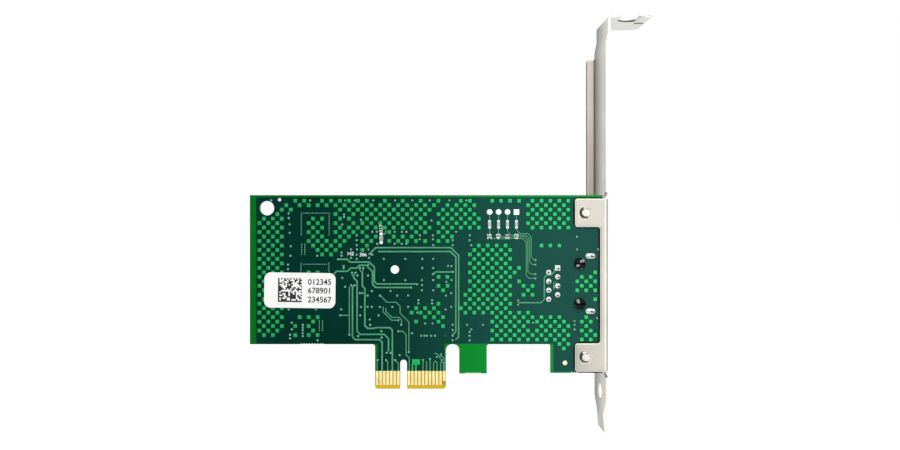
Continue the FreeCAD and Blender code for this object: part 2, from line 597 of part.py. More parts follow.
# --- copper squares -----------------------------------------------------------------------------
# Etched squares even out the copper between the circuits. Each row holds runs of every second
# column, from the first to the last that a run names.
THIEF_RUNS = {
    0: [(8, 10), (14, 24), (28, 28), (32, 32), (36, 36), (40, 40), (45, 47), (52, 58), (61, 69)],
    1: [(6, 6), (9, 39), (42, 48), (60, 68)],
    2: [(5, 7), (18, 38), (41, 47), (61, 69)],
    3: [(4, 4), (17, 17), (21, 37), (40, 48), (60, 68)],
    4: [(1, 5), (12, 14), (18, 20), (24, 36), (41, 49), (61, 69)],
    5: [(0, 4), (11, 13), (17, 17), (21, 37), (40, 48), (60, 68)],
    6: [(1, 5), (12, 14), (18, 38), (41, 49), (61, 69)],
    7: [(0, 4), (11, 13), (17, 23), (29, 29), (35, 37), (40, 42)],
    8: [(1, 5), (12, 14), (18, 20), (24, 26), (30, 34), (41, 43)],
    9: [(0, 4), (11, 19), (23, 25), (29, 37), (40, 42)],
    10: [(1, 5), (12, 18), (24, 24), (49, 55), (63, 67)],
    11: [(0, 4), (13, 17), (23, 23), (48, 56)],
    12: [(1, 5), (14, 16), (47, 55)],
    13: [(0, 4), (48, 56)],
    14: [(1, 5), (47, 55)],
    15: [(0, 4), (48, 58)],
    16: [(1, 5), (11, 13), (47, 57), (75, 75)],
    17: [(0, 0), (40, 42), (48, 56), (72, 74)],
    18: [(1, 1), (47, 55), (58, 58), (71, 75)],
    19: [(0, 0), (40, 42), (48, 56), (59, 61), (72, 74)],
    20: [(1, 1), (41, 41), (47, 55), (60, 60), (71, 75)],
    21: [(0, 0), (46, 56), (59, 61)],
    22: [(1, 1), (47, 55), (75, 75)],
    23: [(0, 0), (40, 40), (46, 56)],
    24: [(1, 5), (35, 39), (45, 55)],
    25: [(0, 4), (34, 40), (46, 60)],
    26: [(1, 5), (9, 13), (37, 41), (53, 67), (73, 73)],
    27: [(0, 4), (12, 12), (35, 35), (40, 40), (52, 68), (72, 74)],
    28: [(1, 5), (8, 8), (11, 11), (41, 41), (53, 59), (63, 69), (73, 73)],
    29: [(0, 4), (12, 12), (52, 68), (72, 74)],
    30: [(1, 3), (8, 8), (11, 13), (53, 69), (73, 75)],
    31: [(52, 68), (72, 74)],
    32: [(67, 69)],
    33: [(68, 68)],
}
KEEP_OFF = [(spots, radius, radius) for spots, radius in (
    (SCREW_SPOTS, "head_radius"), (POST_SPOTS, "post_radius"), (PIN_SPOTS, "pin_pad"), (HEADER_SPOTS, "header_pad"),
    ([GROUND_SPOT], "ground_pad"), ([MOUNT_SPOT], "mount_hole"), ([TOOL_SPOT], "tool_hole"), ([TEST_SPOT], "test_hole"))]
KEEP_OFF.append((LEG_SPOTS, "leg_pad_long / 2", "leg_pad_wide / 2"))
KEEP_OFF = [tuple(size(text) for text in (*spot, wide, tall)) for spots, wide, tall in KEEP_OFF for spot in spots]
TAB_SPANS = [(size(low), size(f"{low} + tab_tall")) for low in ("tab_low", "tab_high - tab_tall")]
reach = size("thief_side / 2 + thief_clear")


def has_room(x, z):
    """A square is etched only where it keeps off the board's edges, the bracket and every hole and pad."""
    beside_tab = any(low - reach < z < high + reach for low, high in TAB_SPANS)
    right = size(TAB_END if beside_tab else STRIP_EDGE)
    floor = size("leg_low" if x - reach > size(LEG_LEFT) else "board_low")
    if x + reach > right or z - reach < floor:
        return False
    return all(abs(x - across) > reach + wide or abs(z - up) > reach + tall for across, up, wide, tall in KEEP_OFF)


squares = []
half = size("thief_side / 2")
for row, runs in THIEF_RUNS.items():
    z = size(f"board_top - thief_down - {row} * thief_pitch")
    for first, last in runs:
        for column in range(first, last + 1, 2):
            x = size(f"-board_left + thief_in + {column} * thief_pitch")
            if has_room(x, z):
                squares.append(brick(x - half, x + half, size(f"{SOLDER_FACE} - copper_rise"),
                                     size(SOLDER_FACE), z - half, z + half))
group("copper_squares", squares)

# --- bracket: one piece of steel sheet, punched and folded --------------------------------------
bracket = new_body("mounting_bracket")
HOOK_START = "(hook_tall + tail_straight - tail_depth)"
TAIL_NEAR = f"({NEAR} + tail_inset)"
TAIL_FAR = f"({NEAR} + tail_inset + tail_width)"
JOG_LOW = f"({LIP_TOP} - jog_start)"
JOG_HIGH = f"({LIP_TOP} - jog_end)"
face = new_sketch(bracket, "YZ_Plane", "plate_outline", PLATE_IN)
outline(face, [
    (TAIL_NEAR, HOOK_START),
    (TAIL_NEAR, "-tail_near_end"),
    (NEAR, "-tail_near_start"),
    (NEAR, "tab_low - relief_tall - relief_slope"),
    (f"{NEAR} + relief_deep", "tab_low - relief_tall"),
    (f"{NEAR} + relief_deep", "tab_low"),
    (f"{NEAR} + {BEND_OUTER}", "tab_low"),
    (f"{NEAR} + {BEND_OUTER}", "tab_high"),
    (f"{NEAR} + relief_deep", "tab_high"),
    (f"{NEAR} + relief_deep", "tab_high + relief_tall"),
    (NEAR, "tab_high + relief_tall + relief_slope"),
    (NEAR, JOG_LOW),
    (PLATE_FAR, JOG_LOW),
    (PLATE_FAR, "-tail_far_start"),
    (TAIL_FAR, "-tail_far_end"),
    (TAIL_FAR, HOOK_START),
])
pad(bracket, face, "bracket_sheet")

lip = new_sketch(bracket, "XZ_Plane", "lip_profile", f"-{NEAR}")
outline(lip, [
    (PLATE_IN, JOG_LOW),
    (PLATE_OUT, JOG_LOW),
    (f"{PLATE_OUT} + jog_step", JOG_HIGH),
    (f"{PLATE_OUT} + jog_step", f"{LIP_TOP} - bracket_sheet"),
    (f"{PLATE_OUT} + jog_step + lip_length", f"{LIP_TOP} - bracket_sheet"),
    (f"{PLATE_OUT} + jog_step + lip_length", LIP_TOP),
    (f"{PLATE_IN} + jog_step", LIP_TOP),
    (f"{PLATE_IN} + jog_step", JOG_HIGH),
])
pad(bracket, lip, f"{PLATE_FAR} - {NEAR}", backwards=True)

hook = new_sketch(bracket, "XZ_Plane", "hook_profile", f"-{TAIL_NEAR}")
outline(hook, [
    (PLATE_IN, HOOK_START),
    (f"{PLATE_IN} + tail_lean", "hook_tall - tail_depth"),
    (f"{PLATE_IN} + tail_lean + hook_tall", "-tail_depth"),
    (f"{PLATE_OUT} + tail_lean + 0.7 * hook_tall", "0.8 * hook_tall - tail_depth"),
    (f"{PLATE_OUT} + tail_lean", "hook_tall - tail_depth + bracket_sheet / 2"),
    (PLATE_OUT, HOOK_START),
])
pad(bracket, hook, "tail_width", backwards=True)

near_fold = new_sketch(bracket, "XY_Plane", "near_fold_profile", "tab_low")
outline(near_fold, [
    (PLATE_OUT, f"{NEAR} + 2 * {BEND_OUTER}"),
    (PLATE_IN, f"{NEAR} + 2 * {BEND_OUTER}"),
    (PLATE_IN, f"{NEAR} + bracket_sheet"),
    (STRIP_EDGE, f"{NEAR} + bracket_sheet"),
    (STRIP_EDGE, NEAR),
    (PLATE_OUT, NEAR),
])
pad(bracket, near_fold, "tab_high - tab_low")

far_fold = new_sketch(bracket, "XY_Plane", "stiffener_profile", "stiffener_low")
outline(far_fold, [
    (PLATE_OUT, f"{FAR} - 2 * {BEND_OUTER}"),
    (PLATE_OUT, FAR),
    (f"{PLATE_IN} - stiffener_reach", FAR),
    (f"{PLATE_IN} - stiffener_reach", f"{FAR} - bracket_sheet"),
    (PLATE_IN, f"{FAR} - bracket_sheet"),
    (PLATE_IN, f"{FAR} - 2 * {BEND_OUTER}"),
])
pad(bracket, far_fold, f"{STIFFENER_TOP} - stiffener_low")

tabs = new_sketch(bracket, "XZ_Plane", "fastening_tabs", f"-{NEAR}")
for low in ("tab_low", "tab_high - tab_tall"):
    rectangle(tabs, TAB_END, f"{STRIP_EDGE} + bracket_sheet / 2", low, f"{low} + tab_tall")
pad(bracket, tabs, "bracket_sheet", backwards=True)

OUTER_BENDS = corner_edges(bracket, "Z", [(PLATE_OUT, NEAR)], ("tab_low", "tab_high"))
OUTER_BENDS += corner_edges(bracket, "Z", [(PLATE_OUT, FAR)])
OUTER_BENDS += corner_edges(bracket, "Y", [(f"{PLATE_IN} + jog_step", LIP_TOP)])
dress(bracket, "Fillet", "bends_outside", OUTER_BENDS, BEND_OUTER)
INNER_BENDS = corner_edges(bracket, "Z", [(PLATE_IN, f"{NEAR} + bracket_sheet"), (PLATE_IN, f"{FAR} - bracket_sheet")])
INNER_BENDS += corner_edges(bracket, "Y", [(f"{PLATE_OUT} + jog_step", f"{LIP_TOP} - bracket_sheet")])
dress(bracket, "Fillet", "bends_inside", INNER_BENDS, "bend_inner")

TAB_CORNERS = [(TAB_END, z) for z in ("tab_low", "tab_low + tab_tall", "tab_high - tab_tall", "tab_high")]
TAB_CORNERS += [(STRIP_EDGE, "tab_low + tab_tall"), (STRIP_EDGE, "tab_high - tab_tall")]
dress(bracket, "Fillet", "tab_corners", corner_edges(bracket, "Y", TAB_CORNERS), "tab_corner")
STIFFENER_CORNERS = [(f"{PLATE_IN} - stiffener_reach", z) for z in ("stiffener_low", STIFFENER_TOP)]
dress(bracket, "Fillet", "stiffener_corners", corner_edges(bracket, "Y", STIFFENER_CORNERS), "stiffener_corner")
LIP_END = f"{PLATE_OUT} + jog_step + lip_length"
dress(bracket, "Fillet", "lip_far_corner", corner_edges(bracket, "Z", [(LIP_END, PLATE_FAR)]), "lip_corner")

notch = new_sketch(bracket, "XY_Plane", "screw_notch", f"{LIP_TOP} + bracket_sheet")
round_slot(notch, f"({PLATE_OUT} + jog_step + lip_notch_out)", f"{NEAR} - bracket_sheet",
           f"({NEAR} + lip_notch_deep)", "lip_notch_width")
pocket(bracket, notch, "3 * bracket_sheet")
slit = new_sketch(bracket, "XY_Plane", "lip_slit", f"{LIP_TOP} + bracket_sheet")
rectangle(slit, f"{LIP_END} - lip_slit_deep", f"{LIP_END} + bracket_sheet",
          f"{NEAR} + lip_slit_across - lip_slit_width / 2", f"{NEAR} + lip_slit_across + lip_slit_width / 2")
pocket(bracket, slit, "3 * bracket_sheet")
FINGER = [(LIP_END, f"{NEAR} + lip_slit_across - lip_slit_width / 2")]
dress(bracket, "Fillet", "lip_finger", corner_edges(bracket, "Z", FINGER), "lip_finger_corner")

window = new_sketch(bracket, "YZ_Plane", "jack_window", f"{PLATE_OUT} + bracket_sheet")
rectangle(window, f"{COMPONENT_FACE} - window_play", f"{JACK_TOP} + window_play",
          "jack_z - jack_wide / 2 - window_play", "jack_z + jack_wide / 2 + window_play")
circle(window, f"({NEAR} + {PLATE_FAR}) / 2", "-tail_hole_low", "tail_hole")
pocket(bracket, window, "3 * bracket_sheet")
bores = new_sketch(bracket, "XZ_Plane", "tapped_holes", f"-{NEAR} + bracket_sheet")
for across, up in SCREW_SPOTS:
    circle(bores, across, up, "screw_radius + thread_play")
pocket(bracket, bores, "3 * bracket_sheet")
dress(bracket, "Chamfer", "thread_mouths", ring_edges(bracket, "screw_radius + thread_play", NEAR), "thread_mouth")

# --- bracket screws -----------------------------------------------------------------------------
screws = []
head_top = size(f"{COMPONENT_FACE} + head_tall")
tip = size(f"{NEAR} - screw_tip")
for across, up in SCREW_SPOTS:
    x, z = size(across), size(up)
    screw = turned([
        (0, head_top),
        (0.7 * size("head_radius"), head_top),
        (size("head_radius"), head_top - 0.45 * size("head_tall")),
        (size("head_radius"), size(COMPONENT_FACE)),
        (size("screw_radius"), size(COMPONENT_FACE)),
        (size("screw_radius"), tip + size("tip_chamfer")),
        (size("screw_radius - tip_chamfer"), tip),
        (0, tip),
    ], x, z)
    arm, slot, deep = size("0.55 * head_radius"), size("0.13 * head_radius"), head_top - size("0.6 * head_tall")
    screw = screw.cut(brick(x - arm, x + arm, deep, head_top + 1, z - slot, z + slot))
    screws.append(screw.cut(brick(x - slot, x + slot, deep, head_top + 1, z - arm, z + arm)))
group("bracket_screws", screws)

# --- network jack: shield -----------------------------------------------------------------------
shield = new_body("jack_shield")
LOW_SIDE, HIGH_SIDE = "(jack_z - jack_wide / 2)", "(jack_z + jack_wide / 2)"
shell = new_sketch(shield, "XZ_Plane", "shield_block", f"-({COMPONENT_FACE})")
rectangle(shell, JACK_BACK, JACK_FRONT, LOW_SIDE, HIGH_SIDE)
pad(shield, shell, "jack_tall", backwards=True)
UPRIGHTS = [(x, z) for x in (JACK_BACK, JACK_FRONT) for z in (LOW_SIDE, HIGH_SIDE)]
dress(shield, "Fillet", "shield_folds", corner_edges(shield, "Y", UPRIGHTS), "2 * shield_sheet")
hollow = new_sketch(shield, "XZ_Plane", "shield_inside", f"-({COMPONENT_FACE}) + shield_sheet")
rectangle(hollow, f"{JACK_BACK} + shield_sheet", f"{JACK_FRONT} - shield_sheet",
          f"{LOW_SIDE} + shield_sheet", f"{HIGH_SIDE} - shield_sheet")
pocket(shield, hollow, "jack_tall")
mouth = new_sketch(shield, "YZ_Plane", "shield_mouth", f"{JACK_FRONT} + shield_sheet")
rectangle(mouth, f"{COMPONENT_FACE} - shield_sheet", f"{JACK_TOP} - face_margin",
          f"{LOW_SIDE} + face_margin", f"{HIGH_SIDE} - face_margin")
pocket(shield, mouth, "3 * shield_sheet")
legs = new_sketch(shield, "XZ_Plane", "solder_legs", f"-({COMPONENT_FACE}) - shield_sheet")
for across, wall in ((LEG_SPOTS[0][0], LOW_SIDE), (LEG_SPOTS[1][0], f"({HIGH_SIDE} - shield_sheet)")):
    rectangle(legs, f"{across} - shield_leg_wide / 2", f"{across} + shield_leg_wide / 2",
              wall, f"{wall} + shield_sheet")
pad(shield, legs, "shield_sheet + board_thick + pin_proud")

# --- network jack: moulded housing --------------------------------------------------------------
housing = new_body("jack_housing")
HOUSING_BACK = f"({HOUSING_FRONT} - housing_deep)"
HOUSING_LOW = f"({LOW_SIDE} + shield_sheet + jack_play)"
HOUSING_HIGH = f"({HIGH_SIDE} - shield_sheet - jack_play)"
block = new_sketch(housing, "XZ_Plane", "housing_block", f"-({COMPONENT_FACE})")
rectangle(block, HOUSING_BACK, HOUSING_FRONT, HOUSING_LOW, HOUSING_HIGH)
pad(housing, block, "jack_tall - shield_sheet - jack_play", backwards=True)
posts = new_sketch(housing, "XZ_Plane", "snap_posts", f"-({COMPONENT_FACE})")
for across, up in POST_SPOTS:
    circle(posts, across, up, "post_radius")
pad(housing, posts, "board_thick + post_proud")
POST_TIP = f"{SOLDER_FACE} - post_proud"
dress(housing, "Chamfer", "post_tips", ring_edges(housing, "post_radius", POST_TIP), "post_chamfer")
split = new_sketch(housing, "XZ_Plane", "post_splits", f"board_thick / 2 + 2 * post_proud")
for across, up in POST_SPOTS:
    rectangle(split, f"{across} - 1.2 * post_radius", f"{across} + 1.2 * post_radius",
              f"{up} - post_split / 2", f"{up} + post_split / 2")
pocket(housing, split, "board_thick + 2 * post_proud")
port = new_sketch(housing, "YZ_Plane", "plug_cavity", f"{HOUSING_FRONT} + shield_sheet")
LATCH_FLOOR = f"({PORT_FLOOR} - latch_tall)"
outline(port, [
    (PORT_FLOOR, "jack_z - port_wide / 2"),
    (PORT_ROOF, "jack_z - port_wide / 2"),
    (PORT_ROOF, "jack_z + port_wide / 2"),
    (PORT_FLOOR, "jack_z + port_wide / 2"),
    (PORT_FLOOR, "jack_z + latch_wide / 2"),
    (LATCH_FLOOR, "jack_z + latch_wide / 2"),
    (LATCH_FLOOR, "jack_z + latch_key_wide / 2"),
    (f"{LATCH_FLOOR} - latch_key_tall", "jack_z + latch_key_wide / 2"),
    (f"{LATCH_FLOOR} - latch_key_tall", "jack_z - latch_key_wide / 2"),
    (LATCH_FLOOR, "jack_z - latch_key_wide / 2"),
    (LATCH_FLOOR, "jack_z - latch_wide / 2"),
    (PORT_FLOOR, "jack_z - latch_wide / 2"),
])
pocket(housing, port, "port_deep + shield_sheet")
grooves = new_sketch(housing, "YZ_Plane", "wire_grooves", f"{HOUSING_FRONT} - 3 * wire_wide")
for across, up in PIN_SPOTS:
    rectangle(grooves, f"{PORT_ROOF} - wire_play", f"{PORT_ROOF} + {GROOVE_DEEP}",
              f"{up} - wire_wide / 2 - wire_play", f"{up} + wire_wide / 2 + wire_play")
pocket(housing, grooves, "housing_deep")

# --- network jack: contact wires ----------------------------------------------------------------
wires = []
run_y = size(f"{PORT_ROOF} + wire_play + wire_thick")
bend_x = size(f"{HOUSING_FRONT} - 3 * wire_wide - wire_play")
for across, up in PIN_SPOTS:
    x, z = size(f"{across} - wire_thick / 2"), size(f"{up} - wire_wide / 2")
    foot = size(f"{SOLDER_FACE} - pin_proud")
    path = Part.makePolygon([
        Vector(x, foot, z),
        Vector(x, run_y, z),
        Vector(bend_x, run_y, z),
        Vector(size(f"{HOUSING_FRONT} - 0.75 * port_deep"), size(f"{PORT_ROOF} - 0.36 * port_tall"), z),
    ])
    strip = path.makeOffset2D(size("wire_thick"), join=2, fill=True, openResult=True)
    wires.append(strip.extrude(Vector(0, 0, size("wire_wide"))))
group("jack_contacts", wires)

# --- solder -------------------------------------------------------------------------------------
solder_y = size(SOLDER_FACE)
joint_end = solder_y - size("joint_tall")
wet = size("solder_play")
joints = []
for across, up in PIN_SPOTS:
    rings = [(size("pin_pad"), solder_y), (size("0.9 * pin_pad"), solder_y - size("0.35 * joint_tall")),
             (size("0.55 * pin_pad"), joint_end)]
    hole = (size("wire_thick / 2") + wet, size("wire_wide / 2") + wet)
    joints.append(faceted(rings, size(across), size(up), hole=hole))
for across, up in LEG_SPOTS:
    rings = [(size("leg_pad_wide / 2"), solder_y), (size("0.3 * leg_pad_wide"), joint_end)]
    hole = (size("shield_leg_wide / 2") + wet, size("shield_sheet / 2") + wet)
    joints.append(faceted(rings, size(across), size(up), size("(leg_pad_long - leg_pad_wide) / 2"), hole))
group("jack_solder_joints", joints)

# beads over the filled holes of the header; the last pad is square and flat
header = []
for index, (across, up) in enumerate(HEADER_SPOTS):
    x, z, rim = size(across), size(up), size("header_pad")
    if index == 3:
        header.append(brick(x - rim, x + rim, solder_y - size("copper_rise"), solder_y, z - rim, z + rim))
    else:
        header.append(faceted([(rim, solder_y), (0.75 * rim, solder_y - 0.2), (0.3 * rim, solder_y - 0.32)], x, z))
group("header_solder", header)

across, up = GROUND_SPOT
film_end = solder_y - size("copper_rise")
collar = faceted([(size("ground_pad"), solder_y), (size("ground_pad"), film_end)], size(across), size(up))
fill = faceted([(size("ground_hole") - wet, size(COMPONENT_FACE)), (size("ground_hole") - wet, solder_y)],
               size(across), size(up))
group("ground_plug", [collar.fuse(fill).removeSplitter()])

# --- label --------------------------------------------------------------------------------------
label = new_body("id_label")
paper = new_sketch(label, "XZ_Plane", "label_outline")
rectangle(paper, "-label_wide / 2", "label_wide / 2", "-label_tall / 2", "label_tall / 2")
pad(label, paper, "label_thick")
LABEL_CORNERS = [(f"{x}label_wide / 2", f"{z}label_tall / 2") for x in ("-", "") for z in ("-", "")]
dress(label, "Fillet", "label_corners", corner_edges(label, "Y", LABEL_CORNERS), "label_corner")
label.Placement = Placement(Vector(0, 0, 0), Rotation(Vector(0, 1, 0), size("label_tilt")))
label.setExpression("Placement.Base.x", bound("-board_left + label_in"))
label.setExpression("Placement.Base.y", bound(f"{SOLDER_FACE} - copper_rise"))
label.setExpression("Placement.Base.z", bound("label_height"))
label.setExpression("Placement.Rotation.Angle", bound("label_tilt"))

# --- component side: packages -------------------------------------------------------------------


def package(name, x, z, wide, tall, high, lift, edge):
    """A moulded body on the component side, with chamfered or rounded upper edges."""
    body = new_body(name)
    plan = new_sketch(body, "XZ_Plane", f"{name}_plan", f"-({COMPONENT_FACE} + {lift})")
    rectangle(plan, f"({x}) - {wide} / 2", f"({x}) + {wide} / 2", f"({z}) - {tall} / 2", f"({z}) + {tall} / 2")
    pad(body, plan, high, backwards=True)
    top = size(f"{COMPONENT_FACE} + {lift} + {high}")
    rim = []
    for number, border in enumerate(body.Shape.Edges, 1):
        if all(abs(vertex.Y - top) < 1e-5 for vertex in border.Vertexes):
            rim.append(f"Edge{number}")
    dress(body, "Chamfer", f"{name}_edges", rim, edge)
    return body


FLASH_X, FLASH_Z = "(-chip_left - flash_left)", "(chip_height + flash_up)"
CRYSTAL_X, CRYSTAL_Z = "(-chip_left + crystal_right)", "(chip_height + crystal_up)"
package("controller_package", "-chip_left", "chip_height", "chip_side", "chip_side",
        "chip_tall - standoff", "standoff", "0.05 * chip_tall")
MAGNETICS_X = f"{PIN_FRONT} - magnetics_back"
package("magnetics_module", MAGNETICS_X, "jack_z", "magnetics_wide", "magnetics_long",
        "magnetics_tall - 3 * standoff", "3 * standoff", "0.05 * magnetics_tall")
package("flash_memory", FLASH_X, FLASH_Z, "flash_wide", "flash_long",
        "flash_tall - 2 * standoff", "2 * standoff", "0.12 * flash_tall")
package("regulator", "regulator_x", "regulator_z", "regulator_long", "regulator_wide",
        "regulator_tall - standoff", "standoff", "0.12 * regulator_tall")

face_y = size(COMPONENT_FACE)
film = face_y + size("standoff")
chip_x, chip_z, heat = -size("chip_left"), size("chip_height"), size("heat_pad") / 2
pads = [brick(chip_x - heat, chip_x + heat, face_y, film, chip_z - heat, chip_z + heat)]
reach = size("chip_side") / 2
for index in range(int(size("chip_pads"))):
    along = (index - (size("chip_pads") - 1) / 2) * size("chip_pad_pitch")
    half, outer = size("chip_pad_wide") / 2, reach + size("chip_pad_proud")
    for side in (-1, 1):
        left, right = sorted((side * outer, side * (outer - size("chip_pad_long"))))
        pads.append(brick(chip_x + left, chip_x + right, face_y, film, chip_z + along - half, chip_z + along + half))
        pads.append(brick(chip_x + along - half, chip_x + along + half, face_y, film, chip_z + left, chip_z + right))
group("controller_pads", pads)


def gull_lead(x, z, direction, along, body_half):
    """One bent lead: foot on the board, riser, and shoulder at the package's side.

    direction is the way out of the package, and along is how far the lead sits off its centre."""
    thick, reach_out, foot = size("lead_thick"), size("lead_reach"), size("lead_foot")
    rise, wide = size("lead_rise"), size("lead_wide")
    knee = reach_out - foot
    profile = [(0, rise), (0.5 * knee, rise), (knee, thick), (reach_out, thick), (reach_out, 0),
               (knee - 0.4 * thick, 0), (0, rise - thick)]
    points = [Vector(body_half + out, face_y + up, along - wide / 2) for out, up in profile]
    strip = Part.Face(Part.makePolygon(points + points[:1])).extrude(Vector(0, 0, wide))
    turn = math.degrees(math.atan2(direction[1], direction[0]))
    strip.rotate(Vector(0, 0, 0), Vector(0, 1, 0), -turn)
    return strip.translated(Vector(x, 0, z))


def lead_rows(x, z, count, pitch, body_half, directions):
    """Like leads along two sides of a package."""
    spots = [(index - (count - 1) / 2) * pitch for index in range(count)]
    return [gull_lead(x, z, way, spot, body_half) for way in directions for spot in spots]


SIDEWAYS = ((1, 0), (-1, 0))
group("magnetics_leads", lead_rows(size(MAGNETICS_X), size("jack_z"), int(size("magnetics_pins")),
                                   size("magnetics_pitch"), size("magnetics_wide") / 2, SIDEWAYS))
group("flash_leads", lead_rows(size(FLASH_X), size(FLASH_Z), 4, size("flash_pitch"),
                               size("flash_wide") / 2, SIDEWAYS))
cooling = lead_rows(size("regulator_x"), size("regulator_z"), 3, size("regulator_pitch"),
                    size("regulator_wide") / 2, ((0, -1),))
tab_x, tab_half = size("regulator_x"), size("regulator_tab") / 2
tab_z = size("regulator_z + regulator_wide / 2")
cooling.append(brick(tab_x - tab_half, tab_x + tab_half, face_y, face_y + size("lead_thick"),
                     tab_z, tab_z + size("lead_reach")))
group("regulator_leads", cooling)

# --- component side: crystal, inductor, electrolytic capacitors ---------------------------------
base = new_body("crystal_base")
plan = new_sketch(base, "XZ_Plane", "crystal_base_plan", f"-({COMPONENT_FACE})")
rectangle(plan, f"{CRYSTAL_X} - crystal_long / 2 - crystal_brim", f"{CRYSTAL_X} + crystal_long / 2 + crystal_brim",
          f"{CRYSTAL_Z} - (crystal_wide + crystal_brim) / 2", f"{CRYSTAL_Z} + (crystal_wide + crystal_brim) / 2")
pad(base, plan, "crystal_base", backwards=True)

can = new_body("crystal_can")
plan = new_sketch(can, "XZ_Plane", "crystal_can_plan", f"-({COMPONENT_FACE} + crystal_base)")
CAN_SIDES = (f"{CRYSTAL_X} - crystal_long / 2", f"{CRYSTAL_X} + crystal_long / 2")
CAN_ENDS = (f"{CRYSTAL_Z} - crystal_wide / 2", f"{CRYSTAL_Z} + crystal_wide / 2")
rectangle(plan, *CAN_SIDES, *CAN_ENDS)
pad(can, plan, "crystal_tall - crystal_base", backwards=True)
dress(can, "Fillet", "can_ends", corner_edges(can, "Y", [(x, z) for x in CAN_SIDES for z in CAN_ENDS]),
      "0.49 * crystal_wide")
CAN_TOP = size(f"{COMPONENT_FACE} + crystal_tall")
rim = [f"Edge{number}" for number, edge in enumerate(can.Shape.Edges, 1)
       if all(abs(vertex.Y - CAN_TOP) < 1e-5 for vertex in edge.Vertexes)]
dress(can, "Chamfer", "can_rim", rim, "0.1 * crystal_tall")

coil = new_body("power_inductor")
plan = new_sketch(coil, "XZ_Plane", "inductor_plan", f"-({COMPONENT_FACE})")
COIL_SIDES = ("inductor_x - inductor_side / 2", "inductor_x + inductor_side / 2")
COIL_ENDS = ("inductor_z - inductor_side / 2", "inductor_z + inductor_side / 2")
rectangle(plan, *COIL_SIDES, *COIL_ENDS)
pad(coil, plan, "inductor_tall", backwards=True)
dress(coil, "Chamfer", "inductor_corners",
      corner_edges(coil, "Y", [(x, z) for x in COIL_SIDES for z in COIL_ENDS]), "inductor_corner")

cans, bases = [], []
for index in range(2):
    x, z = size("can_x"), size(f"can_z + {index} * can_gap")
    seat, top, radius = face_y + size("can_base_tall"), face_y + size("can_tall"), size("can_radius")
    cans.append(Part.makeCylinder(radius, top - seat, Vector(x, seat, z), Vector(0, 1, 0)))
    half = size("can_base") / 2
    foot = brick(x - half, x + half, face_y, seat, z - half, z + half)
    bevels = [edge for edge in foot.Edges if abs(edge.Vertexes[0].Y - edge.Vertexes[1].Y) > 1e-6
              and edge.Vertexes[0].X > x]
    bases.append(foot.makeChamfer(0.25 * size("can_base"), bevels))
group("capacitor_cans", cans)
group("capacitor_bases", bases)

# --- component side: chip capacitors and resistors ----------------------------------------------
# Each part lies near the piece that it serves: across and up from that piece's centre
RING = "(chip_side / 2 + ring_gap)"
CONTROLLER, CRYSTAL, FLASH = ("-chip_left", "chip_height"), (CRYSTAL_X, CRYSTAL_Z), (FLASH_X, FLASH_Z)
INDUCTOR, HEADER = ("inductor_x", "inductor_z"), ("header_in", "(board_top - header_down)")
MODULE, TONGUE = (f"({MAGNETICS_X})", "jack_z"), ("0", "key_top")
CHIP_CAPACITORS = [(CONTROLLER, f"{side}{RING}", f"{step} * ring_pitch", False)
                   for side in ("-", "") for step in (-1.5, -0.5, 0.5, 1.5)]
CHIP_CAPACITORS += [(CONTROLLER, f"{step} * ring_pitch", f"{side}{RING}", True)
                    for side in ("-", "") for step in (-1, 0)]
CHIP_CAPACITORS += [(INDUCTOR, "inductor_side / 2 + 1.8", "2", False), (INDUCTOR, "-inductor_side / 2 - 2.4", "0", False),
                    (CRYSTAL, "crystal_long / 2 + 3.1", "0", False), (CRYSTAL, "-crystal_long / 2 - 2.4", "1", False),
                    (MODULE, "-magnetics_wide / 2 - 9.2", "4.7", True), (MODULE, "-magnetics_wide / 2 - 9.2", "-4.7", True),
                    (TONGUE, "-3.5", "1.3", True), (TONGUE, "4.5", "1.3", True)]
CHIP_RESISTORS = [(MODULE, "-magnetics_wide / 2 - 15.4", f"{step} * series_pitch", True) for step in range(-1, 5)]
CHIP_RESISTORS += [(FLASH, "-flash_wide / 2 - 3.9", "1.4", False), (FLASH, "-flash_wide / 2 - 3.9", "-1.8", False),
                   (FLASH, "flash_wide / 2 + 3.6", "1.6", False)]
CHIP_RESISTORS += [(HEADER, f"{step} * header_pitch", "-3.6", False) for step in range(3)]
for name, spots, tall in (("chip_capacitors", CHIP_CAPACITORS, "cap_tall"),
                          ("chip_resistors", CHIP_RESISTORS, "resistor_tall")):
    solids = []
    for owner, across, up, lies_along_x in spots:
        x, z = (size(f"{centre} + ({shift})") for centre, shift in zip(owner, (across, up)))
        long, wide = size("chip_part_long") / 2, size("chip_part_wide") / 2
        if not lies_along_x:
            long, wide = wide, long
        solids.append(brick(x - long, x + long, face_y, face_y + size(tall), z - wide, z + wide))
    group(name, solids)

# --- checks and files ---------------------------------------------------------------------------
doc.recompute()
for feature in doc.Objects:
    if "Invalid" in feature.State or "Error" in feature.State:
        raise RuntimeError(f"{feature.Name} failed: {feature.State}")
os.makedirs("parts", exist_ok=True)
for part in parts:
    if part.Shape.isNull() or not part.Shape.isValid():
        raise RuntimeError(f"{part.Label} has no valid shape")
    part.Shape.exportStep(f"parts/{part.Label}.step")
    box = part.Shape.BoundBox
    print(f"{part.Label}: {len(part.Shape.Solids)} solids, {part.Shape.Volume:.1f} mm3, "
          f"{box.XLength:.2f} x {box.YLength:.2f} x {box.ZLength:.2f} mm")
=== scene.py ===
# %% [markdown]
# # A network interface card, seen from its solder side
# The card is a green circuit board in a steel bracket. Its CAD model comes in as a fixed frame of
# solids. This lesson keeps the solids whose shape is finished, gives each its real surface, and adds
# what is too small or too shallow for solids: tracks, vias, print, solder fillets and eased edges.

import json
import math
import random

import bmesh
import bpy
from mathutils import Matrix, Vector

